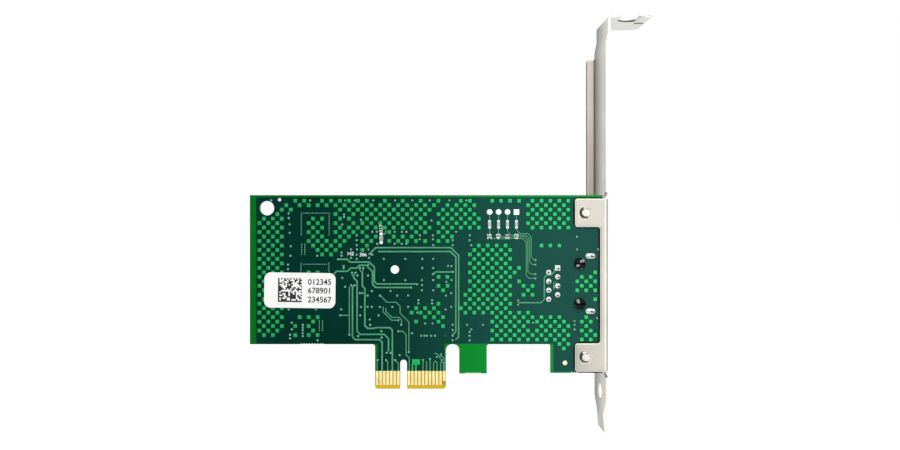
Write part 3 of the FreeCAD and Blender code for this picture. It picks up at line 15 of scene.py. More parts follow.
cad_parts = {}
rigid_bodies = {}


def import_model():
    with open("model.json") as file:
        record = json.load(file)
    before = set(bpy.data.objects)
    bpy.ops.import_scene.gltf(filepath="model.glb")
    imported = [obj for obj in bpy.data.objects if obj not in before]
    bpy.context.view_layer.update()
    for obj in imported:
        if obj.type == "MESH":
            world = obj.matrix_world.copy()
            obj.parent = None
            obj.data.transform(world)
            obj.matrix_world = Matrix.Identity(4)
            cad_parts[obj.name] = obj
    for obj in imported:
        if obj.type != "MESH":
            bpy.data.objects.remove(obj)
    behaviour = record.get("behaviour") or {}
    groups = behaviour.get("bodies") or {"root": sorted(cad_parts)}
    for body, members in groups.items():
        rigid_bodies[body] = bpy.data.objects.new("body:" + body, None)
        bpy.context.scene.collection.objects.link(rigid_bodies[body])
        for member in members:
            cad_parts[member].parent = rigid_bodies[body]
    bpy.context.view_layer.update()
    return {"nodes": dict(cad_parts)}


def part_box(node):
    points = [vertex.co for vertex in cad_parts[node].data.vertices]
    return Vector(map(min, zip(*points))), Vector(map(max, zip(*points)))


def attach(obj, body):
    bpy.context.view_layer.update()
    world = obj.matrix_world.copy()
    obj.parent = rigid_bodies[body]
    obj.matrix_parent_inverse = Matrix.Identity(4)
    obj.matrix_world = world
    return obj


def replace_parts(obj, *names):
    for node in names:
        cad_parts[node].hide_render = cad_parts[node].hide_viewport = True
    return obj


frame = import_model()
print("CAD nodes:", len(frame["nodes"]))

# %% [markdown]
# ## Millimetres in, metres out
# Blender's unit here is the metre, but a circuit board is drawn in millimetres. Every size below is
# in millimetres, and one function scales a finished mesh by a thousandth as it becomes an object.

# %% Units
MM = 0.001
WELD = 0.001                   # points nearer to each other than this are one


class Box:
    """A box in millimetres: its lowest and highest corner, its middle and its three sizes."""

    def __init__(self, low, high):
        low, high = ([value / MM for value in corner] for corner in (low, high))
        self.x0, self.y0, self.z0 = low
        self.x1, self.y1, self.z1 = high
        self.x, self.y, self.z = ((a + b) / 2 for a, b in zip(low, high))
        self.wide, self.deep, self.tall = (b - a for a, b in zip(low, high))


def node_box(name):
    """The box of one CAD node."""
    return Box(*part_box(name))


board = node_box("circuit_board")
bracket = node_box("mounting_bracket")
print(f"board {board.wide:.1f} x {board.tall:.1f} mm, bracket {bracket.tall:.1f} mm high")

# %% [markdown]
# ## One box for each solid
# Many CAD nodes hold a row of equal solids, such as pins or chips. Their places are read from the
# node itself: points that share edges belong together, and each such island gets a box.

# %% Boxes of solids
def solid_boxes(name):
    """One box for each separate solid of a CAD node, from left to right."""
    copy = bmesh.new()
    copy.from_mesh(frame["nodes"][name].data)
    bmesh.ops.remove_doubles(copy, verts=copy.verts, dist=WELD * MM)
    left_over, boxes = set(copy.verts), []
    while left_over:
        island, front = set(), [left_over.pop()]
        while front:
            vert = front.pop()
            island.add(vert)
            for edge in vert.link_edges:
                other = edge.other_vert(vert)
                if other in left_over:
                    left_over.discard(other)
                    front.append(other)
        spots = list(zip(*(vert.co for vert in island)))
        boxes.append(Box([min(values) for values in spots], [max(values) for values in spots]))
    copy.free()
    return sorted(boxes, key=lambda box: (round(box.x, 2), box.z))


joints = solid_boxes("jack_solder_joints")
print(len(joints), "solder joints under the jack")

# %% [markdown]
# ## Camera
# The card is looked at square on from the solder side, from a quarter of a metre away, so the near
# edge of the bracket hides less than the far flange shows. A small shift puts the card in the frame
# without turning the camera, which keeps the upright edges upright.

# %% Camera
CAMERA_SPOT = Vector((7.5, -251.1, 50.2))
camera = bpy.data.objects.new("camera", bpy.data.cameras.new("camera"))
camera.data.sensor_width = 36
camera.data.lens = 35.3
camera.data.shift_x = 0.0222
camera.data.shift_y = -0.0144
camera.data.clip_start = 0.01
camera.location = CAMERA_SPOT * MM
camera.rotation_euler = (math.radians(90), 0, 0)
bpy.context.collection.objects.link(camera)
bpy.context.scene.camera = camera
bpy.context.scene.view_settings.view_transform = "Standard"
print("camera", tuple(CAMERA_SPOT))

# %% [markdown]
# ## Colours and nodes
# Colours are written as the hex codes that a paint program shows. Blender's shaders want linear
# light, so one function turns a code into that. One more adds a node, sets it and links it. Most
# finishes on the card differ only in their two shades, the size of their patches and their grain, so
# one function makes that shared base, and the cells below add what is special to each.

# %% Colours and nodes
def linear(code):
    """An sRGB hex code as linear red, green, blue and alpha."""
    values = [int(code[i:i + 2], 16) / 255 for i in (1, 3, 5)]
    return [value / 12.92 if value <= 0.04045 else ((value + 0.055) / 1.055) ** 2.4
            for value in values] + [1]


def add(tree, kind, inputs=None, stops=(), **settings):
    """A node of that kind. By socket, inputs are values, hex codes, outputs or nodes.

    Stops are the places and hex codes of a colour ramp."""
    made = tree.nodes.new("ShaderNode" + kind)
    for name, value in settings.items():
        setattr(made, name, value)
    for socket, value in (inputs or {}).items():
        if isinstance(value, bpy.types.Node):
            value = value.outputs[0]
        if isinstance(value, bpy.types.NodeSocket):
            tree.links.new(value, made.inputs[socket])
        else:
            made.inputs[socket].default_value = linear(value) if isinstance(value, str) else value
    for index, (place, code) in enumerate(stops):
        points = made.color_ramp.elements
        point = points[index] if index < len(points) else points.new(place)
        point.position, point.color = place, linear(code)
    return made


# %% The shared base of a finish
def new_finish(name, dark, light, patch, grit=0.3, depth=0.0, **sockets):
    """A material whose colour drifts from dark to light in patches, with a bump of fine grains.

    Patch, grit and depth are in millimetres. A pair of values makes a socket drift too."""
    finish = bpy.data.materials.new(name)
    finish.use_nodes = True
    tree = finish.node_tree
    shader = tree.nodes["Principled BSDF"]
    spot = add(tree, "TexCoord").outputs["Object"]
    patches = add(tree, "TexNoise", {"Vector": spot, "Scale": 1 / (patch * MM), "Detail": 4.0})
    tint = add(tree, "ValToRGB", {0: patches}, stops=((0.3, dark), (0.7, light)))
    tree.links.new(tint.outputs[0], shader.inputs["Base Color"])
    if depth:
        grains = add(tree, "TexNoise", {"Vector": spot, "Scale": 1 / (grit * MM), "Detail": 3.0})
        raised = add(tree, "Bump", {"Height": grains, "Distance": depth * MM})
        tree.links.new(raised.outputs[0], shader.inputs["Normal"])
    for socket, value in sockets.items():
        socket = shader.inputs[socket.replace("_", " ")]
        if isinstance(value, tuple):
            drift = add(tree, "MapRange", {0: patches, 1: 0.3, 2: 0.7, 3: value[0], 4: value[1]})
            tree.links.new(drift.outputs[0], socket)
        else:
            socket.default_value = value
    return finish


# %% [markdown]
# ## Fades and drawn marks
# Two things come back on several finishes. A colour fades to another along the object: a painted
# sheen or painted shade on some finishes, and a change of plating on the contact wires. And rolling,
# plating or rubbing leaves fine marks that run one way, which is a noise pattern stretched along that
# way and used as a bump.

# %% Fade, marks, and finishes for CAD nodes
def fade(finish, axis, start, end, code, ease="LINEAR"):
    """Fades a finish's colour to another from start to end along an axis, in millimetres."""
    tree = finish.node_tree
    colour = tree.nodes["Principled BSDF"].inputs["Base Color"]
    axes = add(tree, "SeparateXYZ", {0: add(tree, "TexCoord").outputs["Object"]})
    along = axes.outputs["xyz".index(axis)]
    share = add(tree, "MapRange", {0: along, 1: start * MM, 2: end * MM}, interpolation_type=ease)
    mixed = add(tree, "Mix", {0: share, 6: colour.links[0].from_node, 7: code}, data_type="RGBA")
    tree.links.new(mixed.outputs[2], colour)


def upright_marks(finish, width, depth, stretch, detail):
    """Marks of that width and depth that run up and down a finish."""
    tree = finish.node_tree
    place = add(tree, "TexCoord").outputs["Object"]
    marks = add(tree, "Mapping", {"Vector": place, "Scale": (1, 1, 1 / stretch)})
    marks = add(tree, "TexNoise", {"Vector": marks, "Scale": 1 / (width * MM), "Detail": detail})
    raised = add(tree, "Bump", {"Height": marks, "Distance": depth * MM, "Strength": 0.6})
    tree.links.new(raised.outputs[0], tree.nodes["Principled BSDF"].inputs["Normal"])


def give(finish, *names):
    """A finish for CAD nodes whose shape stays."""
    for name in names:
        for slot in frame["nodes"][name].material_slots:
            slot.material = finish


# %% [markdown]
# ## Studio
# The background is pure white, which is the world's colour for rays that the camera sends. What
# lights the card is plainer: a soft grey sky, one large softbox high above the camera, and one near
# the card at its right. In gloss the room is white all round, but for the side behind the camera,
# which is dark at the left and brighter towards the right softbox. That, and a sheen painted into the
# mask's colour, is why the lacquer looks deep green at one end of the board and greyer at the other.

# %% World
DARK_SIDE, BRIGHT_SIDE, SKY_LEVEL = 0.0, 1.2, 0.5
DARK_TO_BRIGHT = (-0.04, 0.16)   # x of a direction at the end of the dark and the start of the bright
BACK_TO_SIDES = (-0.94, -0.78)   # y of a direction at the edge of the side behind the camera

world = bpy.data.worlds.new("studio")
bpy.context.scene.world = world
world.use_nodes = True
sky = world.node_tree
sky.nodes.clear()
path = add(sky, "LightPath")
facing = add(sky, "SeparateXYZ", {0: add(sky, "TexCoord").outputs["Generated"]})
behind = add(sky, "MapRange", {0: facing.outputs[0], 1: DARK_TO_BRIGHT[0], 2: DARK_TO_BRIGHT[1],
                               3: DARK_SIDE, 4: BRIGHT_SIDE}, interpolation_type="SMOOTHSTEP")
mirrored = add(sky, "MapRange", {0: facing.outputs[1], 1: BACK_TO_SIDES[0], 2: BACK_TO_SIDES[1],
                                 3: behind, 4: 1.0}, interpolation_type="SMOOTHSTEP")
by_gloss = add(sky, "Math", {0: path.outputs["Is Glossy Ray"], 1: path.outputs["Is Transmission Ray"]},
               operation="MAXIMUM")
level = add(sky, "Mix", {0: by_gloss, 2: SKY_LEVEL, 3: mirrored}, data_type="FLOAT")
level = add(sky, "Mix", {0: path.outputs["Is Camera Ray"], 2: level, 3: 1.0}, data_type="FLOAT")
light = add(sky, "Background", {"Color": "#FFFFFF", "Strength": level})
sky.links.new(light.outputs[0], add(sky, "OutputWorld").inputs["Surface"])
print("world", world.name)


# %% Softboxes
def softbox(name, spot, aim, wide, tall, watts):
    """A rectangular lamp at a spot, turned to its aim, all in millimetres."""
    lamp = bpy.data.lights.new(name, "AREA")
    lamp.shape, lamp.size, lamp.size_y, lamp.energy = "RECTANGLE", wide * MM, tall * MM, watts
    holder = bpy.data.objects.new(name, lamp)
    holder.location = Vector(spot) * MM
    holder.rotation_euler = (Vector(aim) - Vector(spot)).to_track_quat("-Z", "Y").to_euler()
    bpy.context.collection.objects.link(holder)


aim = (board.x, board.y, board.z)
softbox("softbox_right", (330, -430, 60), aim, wide=260, tall=420, watts=1.25)
softbox("softbox_high", (-60, -620, 640), aim, wide=700, tall=500, watts=3.0)

# %% [markdown]
# ## Floor
# The floor is a large pale sheet under the tip of the bracket. For the camera it is mixed most of the
# way to white, so it merges with the background and keeps only a breath of the card's shadow. Gloss
# mirrors the studio and not the sheet, or the lacquer would look grey at the free end.

# %% Floor
FLOOR_REACH = 3000
FLOOR_GAP = 0.1                # the sheet's depth under the tip
WHITE_SHARE, WHITE_LEVEL = 0.9, 1.12
floor_mesh = bmesh.new()
bmesh.ops.create_grid(floor_mesh, x_segments=1, y_segments=1, size=FLOOR_REACH * MM)
bmesh.ops.translate(floor_mesh, verts=floor_mesh.verts, vec=(0, 0, (bracket.z0 - FLOOR_GAP) * MM))
floor_data = bpy.data.meshes.new("floor")
floor_mesh.to_mesh(floor_data)
floor = bpy.data.objects.new("floor", floor_data)
bpy.context.collection.objects.link(floor)
floor.visible_glossy = False

# %% White paper
paper_sweep = new_finish("white_paper_sweep", "#F2F2F2", "#F6F6F6", 40, Roughness=0.9)
tree = paper_sweep.node_tree
path = add(tree, "LightPath")
share = add(tree, "Math", {0: path.outputs["Is Camera Ray"], 1: WHITE_SHARE}, operation="MULTIPLY")
glow = add(tree, "Emission", {"Color": "#FFFFFF", "Strength": WHITE_LEVEL})
mixed = add(tree, "MixShader", {0: share, 1: tree.nodes["Principled BSDF"], 2: glow})
tree.links.new(mixed.outputs[0], tree.nodes["Material Output"].inputs["Surface"])
floor.data.materials.append(paper_sweep)
print("floor at", round(bracket.z0 - FLOOR_GAP, 2), "mm")

# %% [markdown]
# ## Solder mask over the laminate
# A circuit board is woven glass in epoxy with copper sheets inside, under a green lacquer that is
# called solder mask. Where a copper sheet lies below, the mask looks dark; at the margins, where the
# copper stops, light goes through the glass and the green is bright. One material can show both,
# because it may ask where on the board a point is. So the board keeps its solid, and the shader
# tells zones apart by the object's own coordinates.

# %% Zones on the board
def within(tree, spot, left, right, low, high, soft=0.12):
    """A value of 1 inside a rectangle in millimetres, and 0 outside, with a soft edge."""
    inside = 1.0
    for axis, edge, way in (("x", left, 1), ("x", right, -1), ("z", low, 1), ("z", high, -1)):
        outer, inner = (edge - way * soft / 2) * MM, (edge + way * soft / 2) * MM
        step = add(tree, "MapRange", {0: spot[axis], 1: outer, 2: inner})
        inside = add(tree, "Math", {0: inside, 1: step}, operation="MULTIPLY")
    return inside


TONGUE = (-8.1, 12.0)          # sides of the contact tongue
LOWER_EDGE = 12.7              # height of the board's long lower edge
CONTACT_TOP, BEVEL_TOP = 5.12, 1.16
LEG = (41.7, 4.55)             # the leg's side and its lower edge
COPPER_UNDER = (               # left, right, low and high edge of the copper below the mask
    (board.x0 + 1.8, board.x1 - 0.1, LOWER_EDGE + 0.14, board.z1 - 0.55),
    (TONGUE[0] + 0.85, TONGUE[1] - 0.35, CONTACT_TOP + 0.1, LOWER_EDGE + 1.5),
    (LEG[0] + 0.77, board.x1 - 0.1, LEG[1] + 0.35, LOWER_EDGE + 1.5),
)
PAINTED_SHEEN_SPAN = (-16, 42)               # painted sheen: the greens are deepest left of the one and lightest past the other

# %% [markdown]
# ## The mask's greens
# The greens are painted deepest at the free end and lighter and greyer towards the bracket, a painted
# sheen standing for the right softbox's light. Over copper it is nearly black green. Over bare glass
# the light comes back through the laminate, and a soft mottling shows, as the resin isn't the same all
# over.

# %% Solder mask
board_mask = new_finish("solder_mask_on_laminate", "#002C24", "#00362D", 22, Roughness=(0.2, 0.27),
                        Specular_IOR_Level=0.12)
tree = board_mask.node_tree
shader = tree.nodes["Principled BSDF"]
deep_green = shader.inputs["Base Color"].links[0].from_node
place = add(tree, "TexCoord").outputs["Object"]
apart = add(tree, "SeparateXYZ", {0: place})
spot = {"x": apart.outputs[0], "z": apart.outputs[2]}
# Painted sheen: the greens lighten towards the bracket's end, standing in for the right softbox's light.
painted_sheen = add(tree, "MapRange", {0: spot["x"], 1: PAINTED_SHEEN_SPAN[0] * MM, 2: PAINTED_SHEEN_SPAN[1] * MM},
             interpolation_type="SMOOTHSTEP")
copper_under = add(tree, "Mix", {0: painted_sheen, 6: deep_green, 7: "#0F4B42"}, data_type="RGBA").outputs[2]
over_copper = 0.0
for zone in COPPER_UNDER:
    over_copper = add(tree, "Math", {0: over_copper, 1: within(tree, spot, *zone)}, operation="MAXIMUM")
mottling = add(tree, "TexNoise", {"Vector": place, "Scale": 1 / (3.0 * MM), "Detail": 2.0})
glass_under = add(tree, "ValToRGB", {0: mottling}, stops=((0.3, "#006616"), (0.7, "#00701B")))
glass_under = add(tree, "Mix", {0: painted_sheen, 6: glass_under, 7: "#00902F"}, data_type="RGBA").outputs[2]
masked = add(tree, "Mix", {0: over_copper, 6: glass_under, 7: copper_under}, data_type="RGBA").outputs[2]

# %% [markdown]
# ## Bare resin, cut edges and weave
# Between the gold contacts there is no lacquer, and the bevel below them is ground to bare resin.
# Cut edges show the laminate itself: yellow-green glass in thin layers. The weave of the glass cloth
# stands through the lacquer as a faint grid.

# %% Laminate
bare = within(tree, spot, TONGUE[0] - 1, TONGUE[1] + 1, -1, CONTACT_TOP, soft=0.15)
ground = within(tree, spot, TONGUE[0] - 1, TONGUE[1] + 1, -1, BEVEL_TOP, soft=0.1)
fibres = add(tree, "TexNoise", {"Vector": place, "Scale": 1 / (0.4 * MM)})
brown = add(tree, "ValToRGB", {0: fibres}, stops=((0.3, "#AC8018"), (0.7, "#BE9228")))
resin = add(tree, "Mix", {0: ground, 6: brown, 7: "#D8B426"}, data_type="RGBA").outputs[2]
faces = add(tree, "Mix", {0: bare, 6: masked, 7: resin}, data_type="RGBA").outputs[2]
normal = add(tree, "SeparateXYZ", {0: add(tree, "NewGeometry").outputs["Normal"]})
upright = add(tree, "Math", {0: normal.outputs[1]}, operation="ABSOLUTE")
sideways = add(tree, "Math", {0: upright, 1: 0.3}, operation="LESS_THAN")
layers = add(tree, "Mapping", {"Vector": place, "Scale": (0.2, 1, 0.2)})
layers = add(tree, "TexNoise", {"Vector": layers, "Scale": 1 / (0.25 * MM)})
laminate = add(tree, "ValToRGB", {0: layers}, stops=((0.3, "#4E6A2E"), (0.7, "#7C9448")))
colour = add(tree, "Mix", {0: sideways, 6: faces, 7: laminate}, data_type="RGBA").outputs[2]
tree.links.new(colour, shader.inputs["Base Color"])

# %% Weave
WAVE_TO_PITCH = 0.314          # a wave texture of scale 1 repeats each 0.314 units
THREAD = 0.45                  # from thread to thread of the glass cloth
cloth = 0.0
for axis in ("X", "Z"):
    threads = add(tree, "TexWave", {"Vector": place, "Scale": WAVE_TO_PITCH / (THREAD * MM),
                                    "Distortion": 0.6, "Detail": 1.0}, bands_direction=axis)
    cloth = add(tree, "Math", {0: cloth, 1: threads}, operation="ADD")
weave = add(tree, "Bump", {"Height": cloth, "Distance": 0.004 * MM, "Strength": 0.5})
tree.links.new(weave.outputs[0], shader.inputs["Normal"])
give(board_mask, "circuit_board")
print(board_mask.name, "has", len(tree.nodes), "nodes")

# %% [markdown]
# ## Masked copper
# The copper squares, tracks and vias are the same lacquer over bright copper, so they look light
# green. A track catches light on its rounded shoulders, and each has a dark line on both sides,
# where the copper sheet below was etched away.

# %% Masked copper
masked_copper = new_finish("solder_mask_on_copper", "#0C9A48", "#14B058", 0.7, grit=0.15, depth=0.004,
                           Roughness=(0.28, 0.36), Specular_IOR_Level=0.25)
# Painted light: the squares lighten towards the bracket's end, as if lit more from the right.
fade(masked_copper, "x", *PAINTED_SHEEN_SPAN, "#1DC869", ease="SMOOTHSTEP")
track_green = new_finish("solder_mask_on_tracks", "#3C9065", "#50A277", 3.0, grit=0.12, depth=0.003,
                         Roughness=(0.28, 0.36), Specular_IOR_Level=0.25)
via_green = new_finish("solder_mask_on_vias", "#58A07C", "#7FBE9E", 0.5, grit=0.1, depth=0.003,
                       Roughness=(0.3, 0.4), Specular_IOR_Level=0.25)
gap_green = new_finish("solder_mask_on_bare_glass", "#00241C", "#012E25", 0.8, Roughness=(0.25, 0.35),
                       Specular_IOR_Level=0.12)

# %% [markdown]
# ## From a flat drawing to the board's faces
# Artwork is drawn flat, with the local Z axis standing out of the face, and a matrix lays it on
# either side. The component side is seen from behind, so there the drawing turns round as well.

# %% Drawing on the faces
LAY_DOWN = Matrix.Rotation(math.radians(90), 4, "X")
FACES = {
    "solder": Matrix.Translation((0, board.y0, 0)) @ LAY_DOWN,
    "component": Matrix.Translation((0, board.y1, 0)) @ Matrix.Rotation(math.pi, 4, "Z") @ LAY_DOWN,
}


def on_face(shape, side="solder"):
    """Lays a flat drawing on a side of the board. On the solder side its x is the card's own."""
    shape.transform(FACES[side])
    return shape


def piece(name, shape, finishes, smooth=35):
    """An object from a shape in millimetres. It rides with the card and has its place in its mesh."""
    shape.transform(Matrix.Scale(MM, 4))
    data = bpy.data.meshes.new(name)
    shape.to_mesh(data)
    shape.free()
    for finish in finishes:
        data.materials.append(finish)
    if smooth:
        data.shade_smooth()
        data.set_sharp_from_angle(angle=math.radians(smooth))
    made = bpy.data.objects.new(name, data)
    bpy.context.collection.objects.link(made)
    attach(made, "root")
    print(f"{name}: {len(data.polygons)} faces")
    return made


# %% [markdown]
# ## Turning, stamping and plates
# Round things are turned from a profile, as on a lathe. Flat things are low blocks whose top may be
# smaller than their foot. A shape that repeats is made once and stamped at each of its spots.

# %% Turned shapes
def turned(profile, steps=12, ring=False):
    """A mesh turned about local Z from (radius, height) points. A ring's profile closes on itself."""
    shape = bmesh.new()
    verts = [shape.verts.new((radius, 0, height)) for radius, height in profile]
    after = verts[1:] + verts[:1] if ring else verts[1:]
    edges = [shape.edges.new(pair) for pair in zip(verts, after)]
    bmesh.ops.spin(shape, geom=verts + edges, cent=(0, 0, 0), axis=(0, 0, 1), angle=math.tau,
                   steps=steps, use_merge=True)
    bmesh.ops.remove_doubles(shape, verts=shape.verts, dist=1e-5)
    bmesh.ops.recalc_face_normals(shape, faces=shape.faces)
    return shape


def disc(radius, height, steps=14):
    """A low round plate."""
    return turned([(0, -0.01), (radius, -0.01), (radius, height), (0, height)], steps)


# %% Plates
def plate(wide, tall, height, shoulder=0.0, below=0.01):
    """A flat block whose top is smaller than its foot by the shoulder on each side."""
    shape = bmesh.new()
    bmesh.ops.create_cube(shape, size=1)
    bmesh.ops.scale(shape, verts=shape.verts, vec=(wide, tall, height + below))
    bmesh.ops.translate(shape, verts=shape.verts, vec=(0, 0, (height - below) / 2))
    if shoulder:
        top = [vert for vert in shape.verts if vert.co.z > 0]
        bmesh.ops.scale(shape, verts=top, vec=(1 - 2 * shoulder / wide, 1 - 2 * shoulder / tall, 1))
    return shape


# %% Stamping
def stamp(target, source, spots, finish=None, lift=0.0, keep=False):
    """Copies a shape to each (x, y) or (x, y, degrees) spot of a drawing, lifted by that height."""
    data = bpy.data.meshes.new("stamp")
    if finish is not None:
        for face in source.faces:
            face.material_index = finish
    source.to_mesh(data)
    if not keep:
        source.free()
    for x, y, *turn in spots:
        copy = data.copy()
        turn = Matrix.Rotation(math.radians(sum(turn)), 4, "Z")
        copy.transform(Matrix.Translation((x, y, lift)) @ turn)
        target.from_mesh(copy)
        bpy.data.meshes.remove(copy)
    bpy.data.meshes.remove(data)


# %% [markdown]
# ## Tracks
# A track is drawn as a pen would draw it: a start, then runs by compass direction. Each run list
# becomes a curve with a round section, which is pressed flat, so a track has soft shoulders like
# etched copper under lacquer.

# %% Track routes
COMPASS = {"E": (1, 0), "NE": (1, 1), "N": (0, 1), "NW": (-1, 1),
           "W": (-1, 0), "SW": (-1, -1), "S": (0, -1), "SE": (1, -1)}


def route(start, runs):
    """The corners of a track from its start and runs such as E2.6, in millimetres."""
    spots = [Vector((*start, 0))]
    for run in runs.split():
        way = run.rstrip("0123456789.")
        spots.append(spots[-1] + Vector((*COMPASS[way], 0)) * float(run[len(way):]))
    return spots


WIDE_ROUTES = {
    "supply, over and down beside the controller": ((-9.9, 38.1), "NE2.0 E21.3 SE2.2 S23.1 SW0.9"),
    "its return, inside it": ((-7.2, 39.0), "E20.5 SE1.5 S21.2 SW1.1"),
    "sense line": ((8.3, 32.4), "NE0.8 E4.8"),
    "jack's supply": ((32.5, 24.5), "E6.5 NE0.9 N6.2 NE0.8 E1.2 NE0.9 N0.8 NE0.4"),
    "clock pair, outer": ((-14.5, 28.9), "S14.1 SE0.8 E6.9 SE0.7 S8.2"),
    "transmit pair": ((-14.2, 31.6), "SE1.0 S14.2 SE0.9 E6.8 SE1.2 S3.6"),
    "receive pair": ((-11.7, 33.4), "S4.2 SE0.7 S10.5 SE0.8 E1.9 NE0.2 E4.2 SE0.7 S11.7"),
    "wake line": ((-19.8, 32.6), "NE0.8 E3.1 NE0.9 E1.7 NE0.8 E1.9 SE1.8 S3.6 SE0.9 E10.3"),
    "reset line": ((-18.6, 36.8), "E2.6 SE0.8 E5.5 SE1.4 S4.1 SE0.7 E11.4"),
}
THIN_ROUTES = {
    "test line": ((-15.4, 29.0), "S13.6"),
    "test branch": ((-18.0, 20.9), "E2.6"),
    "clock pair, upper ends": ((-14.8, 29.5), "SE0.3 S0.5"),
    "clock pair, other end": ((-14.0, 29.5), "SW0.3 S0.5"),
    "transmit pair, left end": ((-14.6, 32.9), "S0.6 SE0.4 S0.4"),
    "transmit pair, right end": ((-13.7, 32.9), "SW0.3 S0.6"),
    "receive pair, left end": ((-12.4, 34.2), "S0.5 SE0.6"),
    "receive pair, right end": ((-11.5, 34.2), "S0.6"),
    "diagonal line": ((-6.7, 26.6), "SE2.0 E2.6 SE1.1 S2.0 SE2.5 S8.4"),
    "upper hook": ((-5.8, 23.3), "S1.4 SE2.4 E1.9"),
    "lower hook": ((-5.0, 23.0), "S1.0 SE1.7 E2.0 SE0.7 S1.4"),
    "line to a contact": ((-1.5, 16.4), "E1.2 SE1.0 S5.7 SE0.9 S3.5"),
    "small curl": ((-5.7, 43.7), "NE0.6 N0.6"),
    "jack's light": ((43.2, 30.6), "SW0.6 S1.9"),
    "corner hook": ((11.9, 15.2), "SW0.2"),
    "link under the via row": ((8.7, 10.1), "E0.7 SE0.9 S0.6"),
}

# %% [markdown]
# ## Header lines and contact leads
# The four lines of the header run down to a lane, along it side by side, and turn down together to
# four vias, so their runs follow from one pitch. Short leads go from the contacts up into the board.

# %% Worked-out routes
HEADER_X = [24.4 + 2.54 * index for index in range(4)]
HEADER_Z = board.z1 - 4.8
LANE_PITCH, LANE_Z, LANE_X, LANE_END = 0.48, 44.1, 36.2, 36.5
HEADER_VIAS_Z = (36.6, 35.3, 32.6, 31.4)
for index, (start, end_z) in enumerate(zip(reversed(HEADER_X), HEADER_VIAS_Z)):
    lane_z, lane_x = LANE_Z - index * LANE_PITCH, LANE_X - index * LANE_PITCH
    runs = (f"S{HEADER_Z - 1.9 - lane_z:.2f} SE1 E{lane_x - start - 2:.2f} SE1 "
            f"S{lane_z - end_z - 1.8:.2f} SE0.8 E{LANE_END - lane_x:.2f}")
    THIN_ROUTES[f"header line {index}"] = ((start, HEADER_Z - 0.9), runs)
CONTACT_LEADS = {   # place along the card, and runs
    -7.5: "N3.0 NE0.1", -4.5: "N2.6 NW0.4 N0.4", -1.5: "N2.3 NW0.9", 5.5: "N2.6 NE0.2",
    6.5: "N2.6 NW0.2", 7.5: "N3.4", 8.5: "N2.4 NE0.5 E0.1 SE0.4 S2.4", 9.5: "N0.2",
    10.5: "N2.4 NE0.4 SE0.4 S2.4", 11.5: "N3.6 NW0.9",
}
for across, runs in CONTACT_LEADS.items():
    THIN_ROUTES[f"lead at {across}"] = ((across, CONTACT_TOP - 0.1), runs)
print(len(WIDE_ROUTES), "wide and", len(THIN_ROUTES), "thin tracks")


# %% Track meshes
def take_mesh(target, data, finish, *leftovers):
    """Adds a mesh to a drawing with one finish, then removes it and what it was made from."""
    for polygon in data.polygons:
        polygon.material_index = finish
    target.from_mesh(data)
    bpy.data.batch_remove([data, *leftovers])


def draw_tracks(target, routes, width, height, finish):
    """Adds round-shouldered strips along routes to a drawing."""
    curve = bpy.data.curves.new("pen", "CURVE")
    curve.dimensions, curve.use_fill_caps = "3D", True
    curve.bevel_depth, curve.bevel_resolution = width / 2, 2
    for start, runs in routes.values():
        corners = route(start, runs)
        line = curve.splines.new("POLY")
        line.points.add(len(corners) - 1)
        for point, corner in zip(line.points, corners):
            point.co = (*corner, 1)
    pen = bpy.data.objects.new("pen", curve)
    data = bpy.data.meshes.new_from_object(pen)
    data.transform(Matrix.Diagonal((1, 1, 2 * height / width, 1)))
    take_mesh(target, data, finish, pen, curve)


GAP = 0.17                     # etched line on each side of a track
WIDE, THIN = 0.5, 0.32
WIDE_TOP, THIN_TOP, WIDE_GAP_TOP, THIN_GAP_TOP = 0.045, 0.040, 0.012, 0.010
drawing = bmesh.new()
draw_tracks(drawing, WIDE_ROUTES, WIDE + 2 * GAP, WIDE_GAP_TOP, 1)
draw_tracks(drawing, THIN_ROUTES, THIN + 2 * GAP, THIN_GAP_TOP, 1)
draw_tracks(drawing, WIDE_ROUTES, WIDE, WIDE_TOP, 0)
draw_tracks(drawing, THIN_ROUTES, THIN, THIN_TOP, 0)
piece("solder_side_tracks", on_face(drawing), [track_green, gap_green])

# %% [markdown]
# ## Vias
# A via is a plated hole that takes a signal through the board, closed over with lacquer. Turned
# from one profile, it is a low dome with a dimple. Hundreds are needed, so each has few faces.

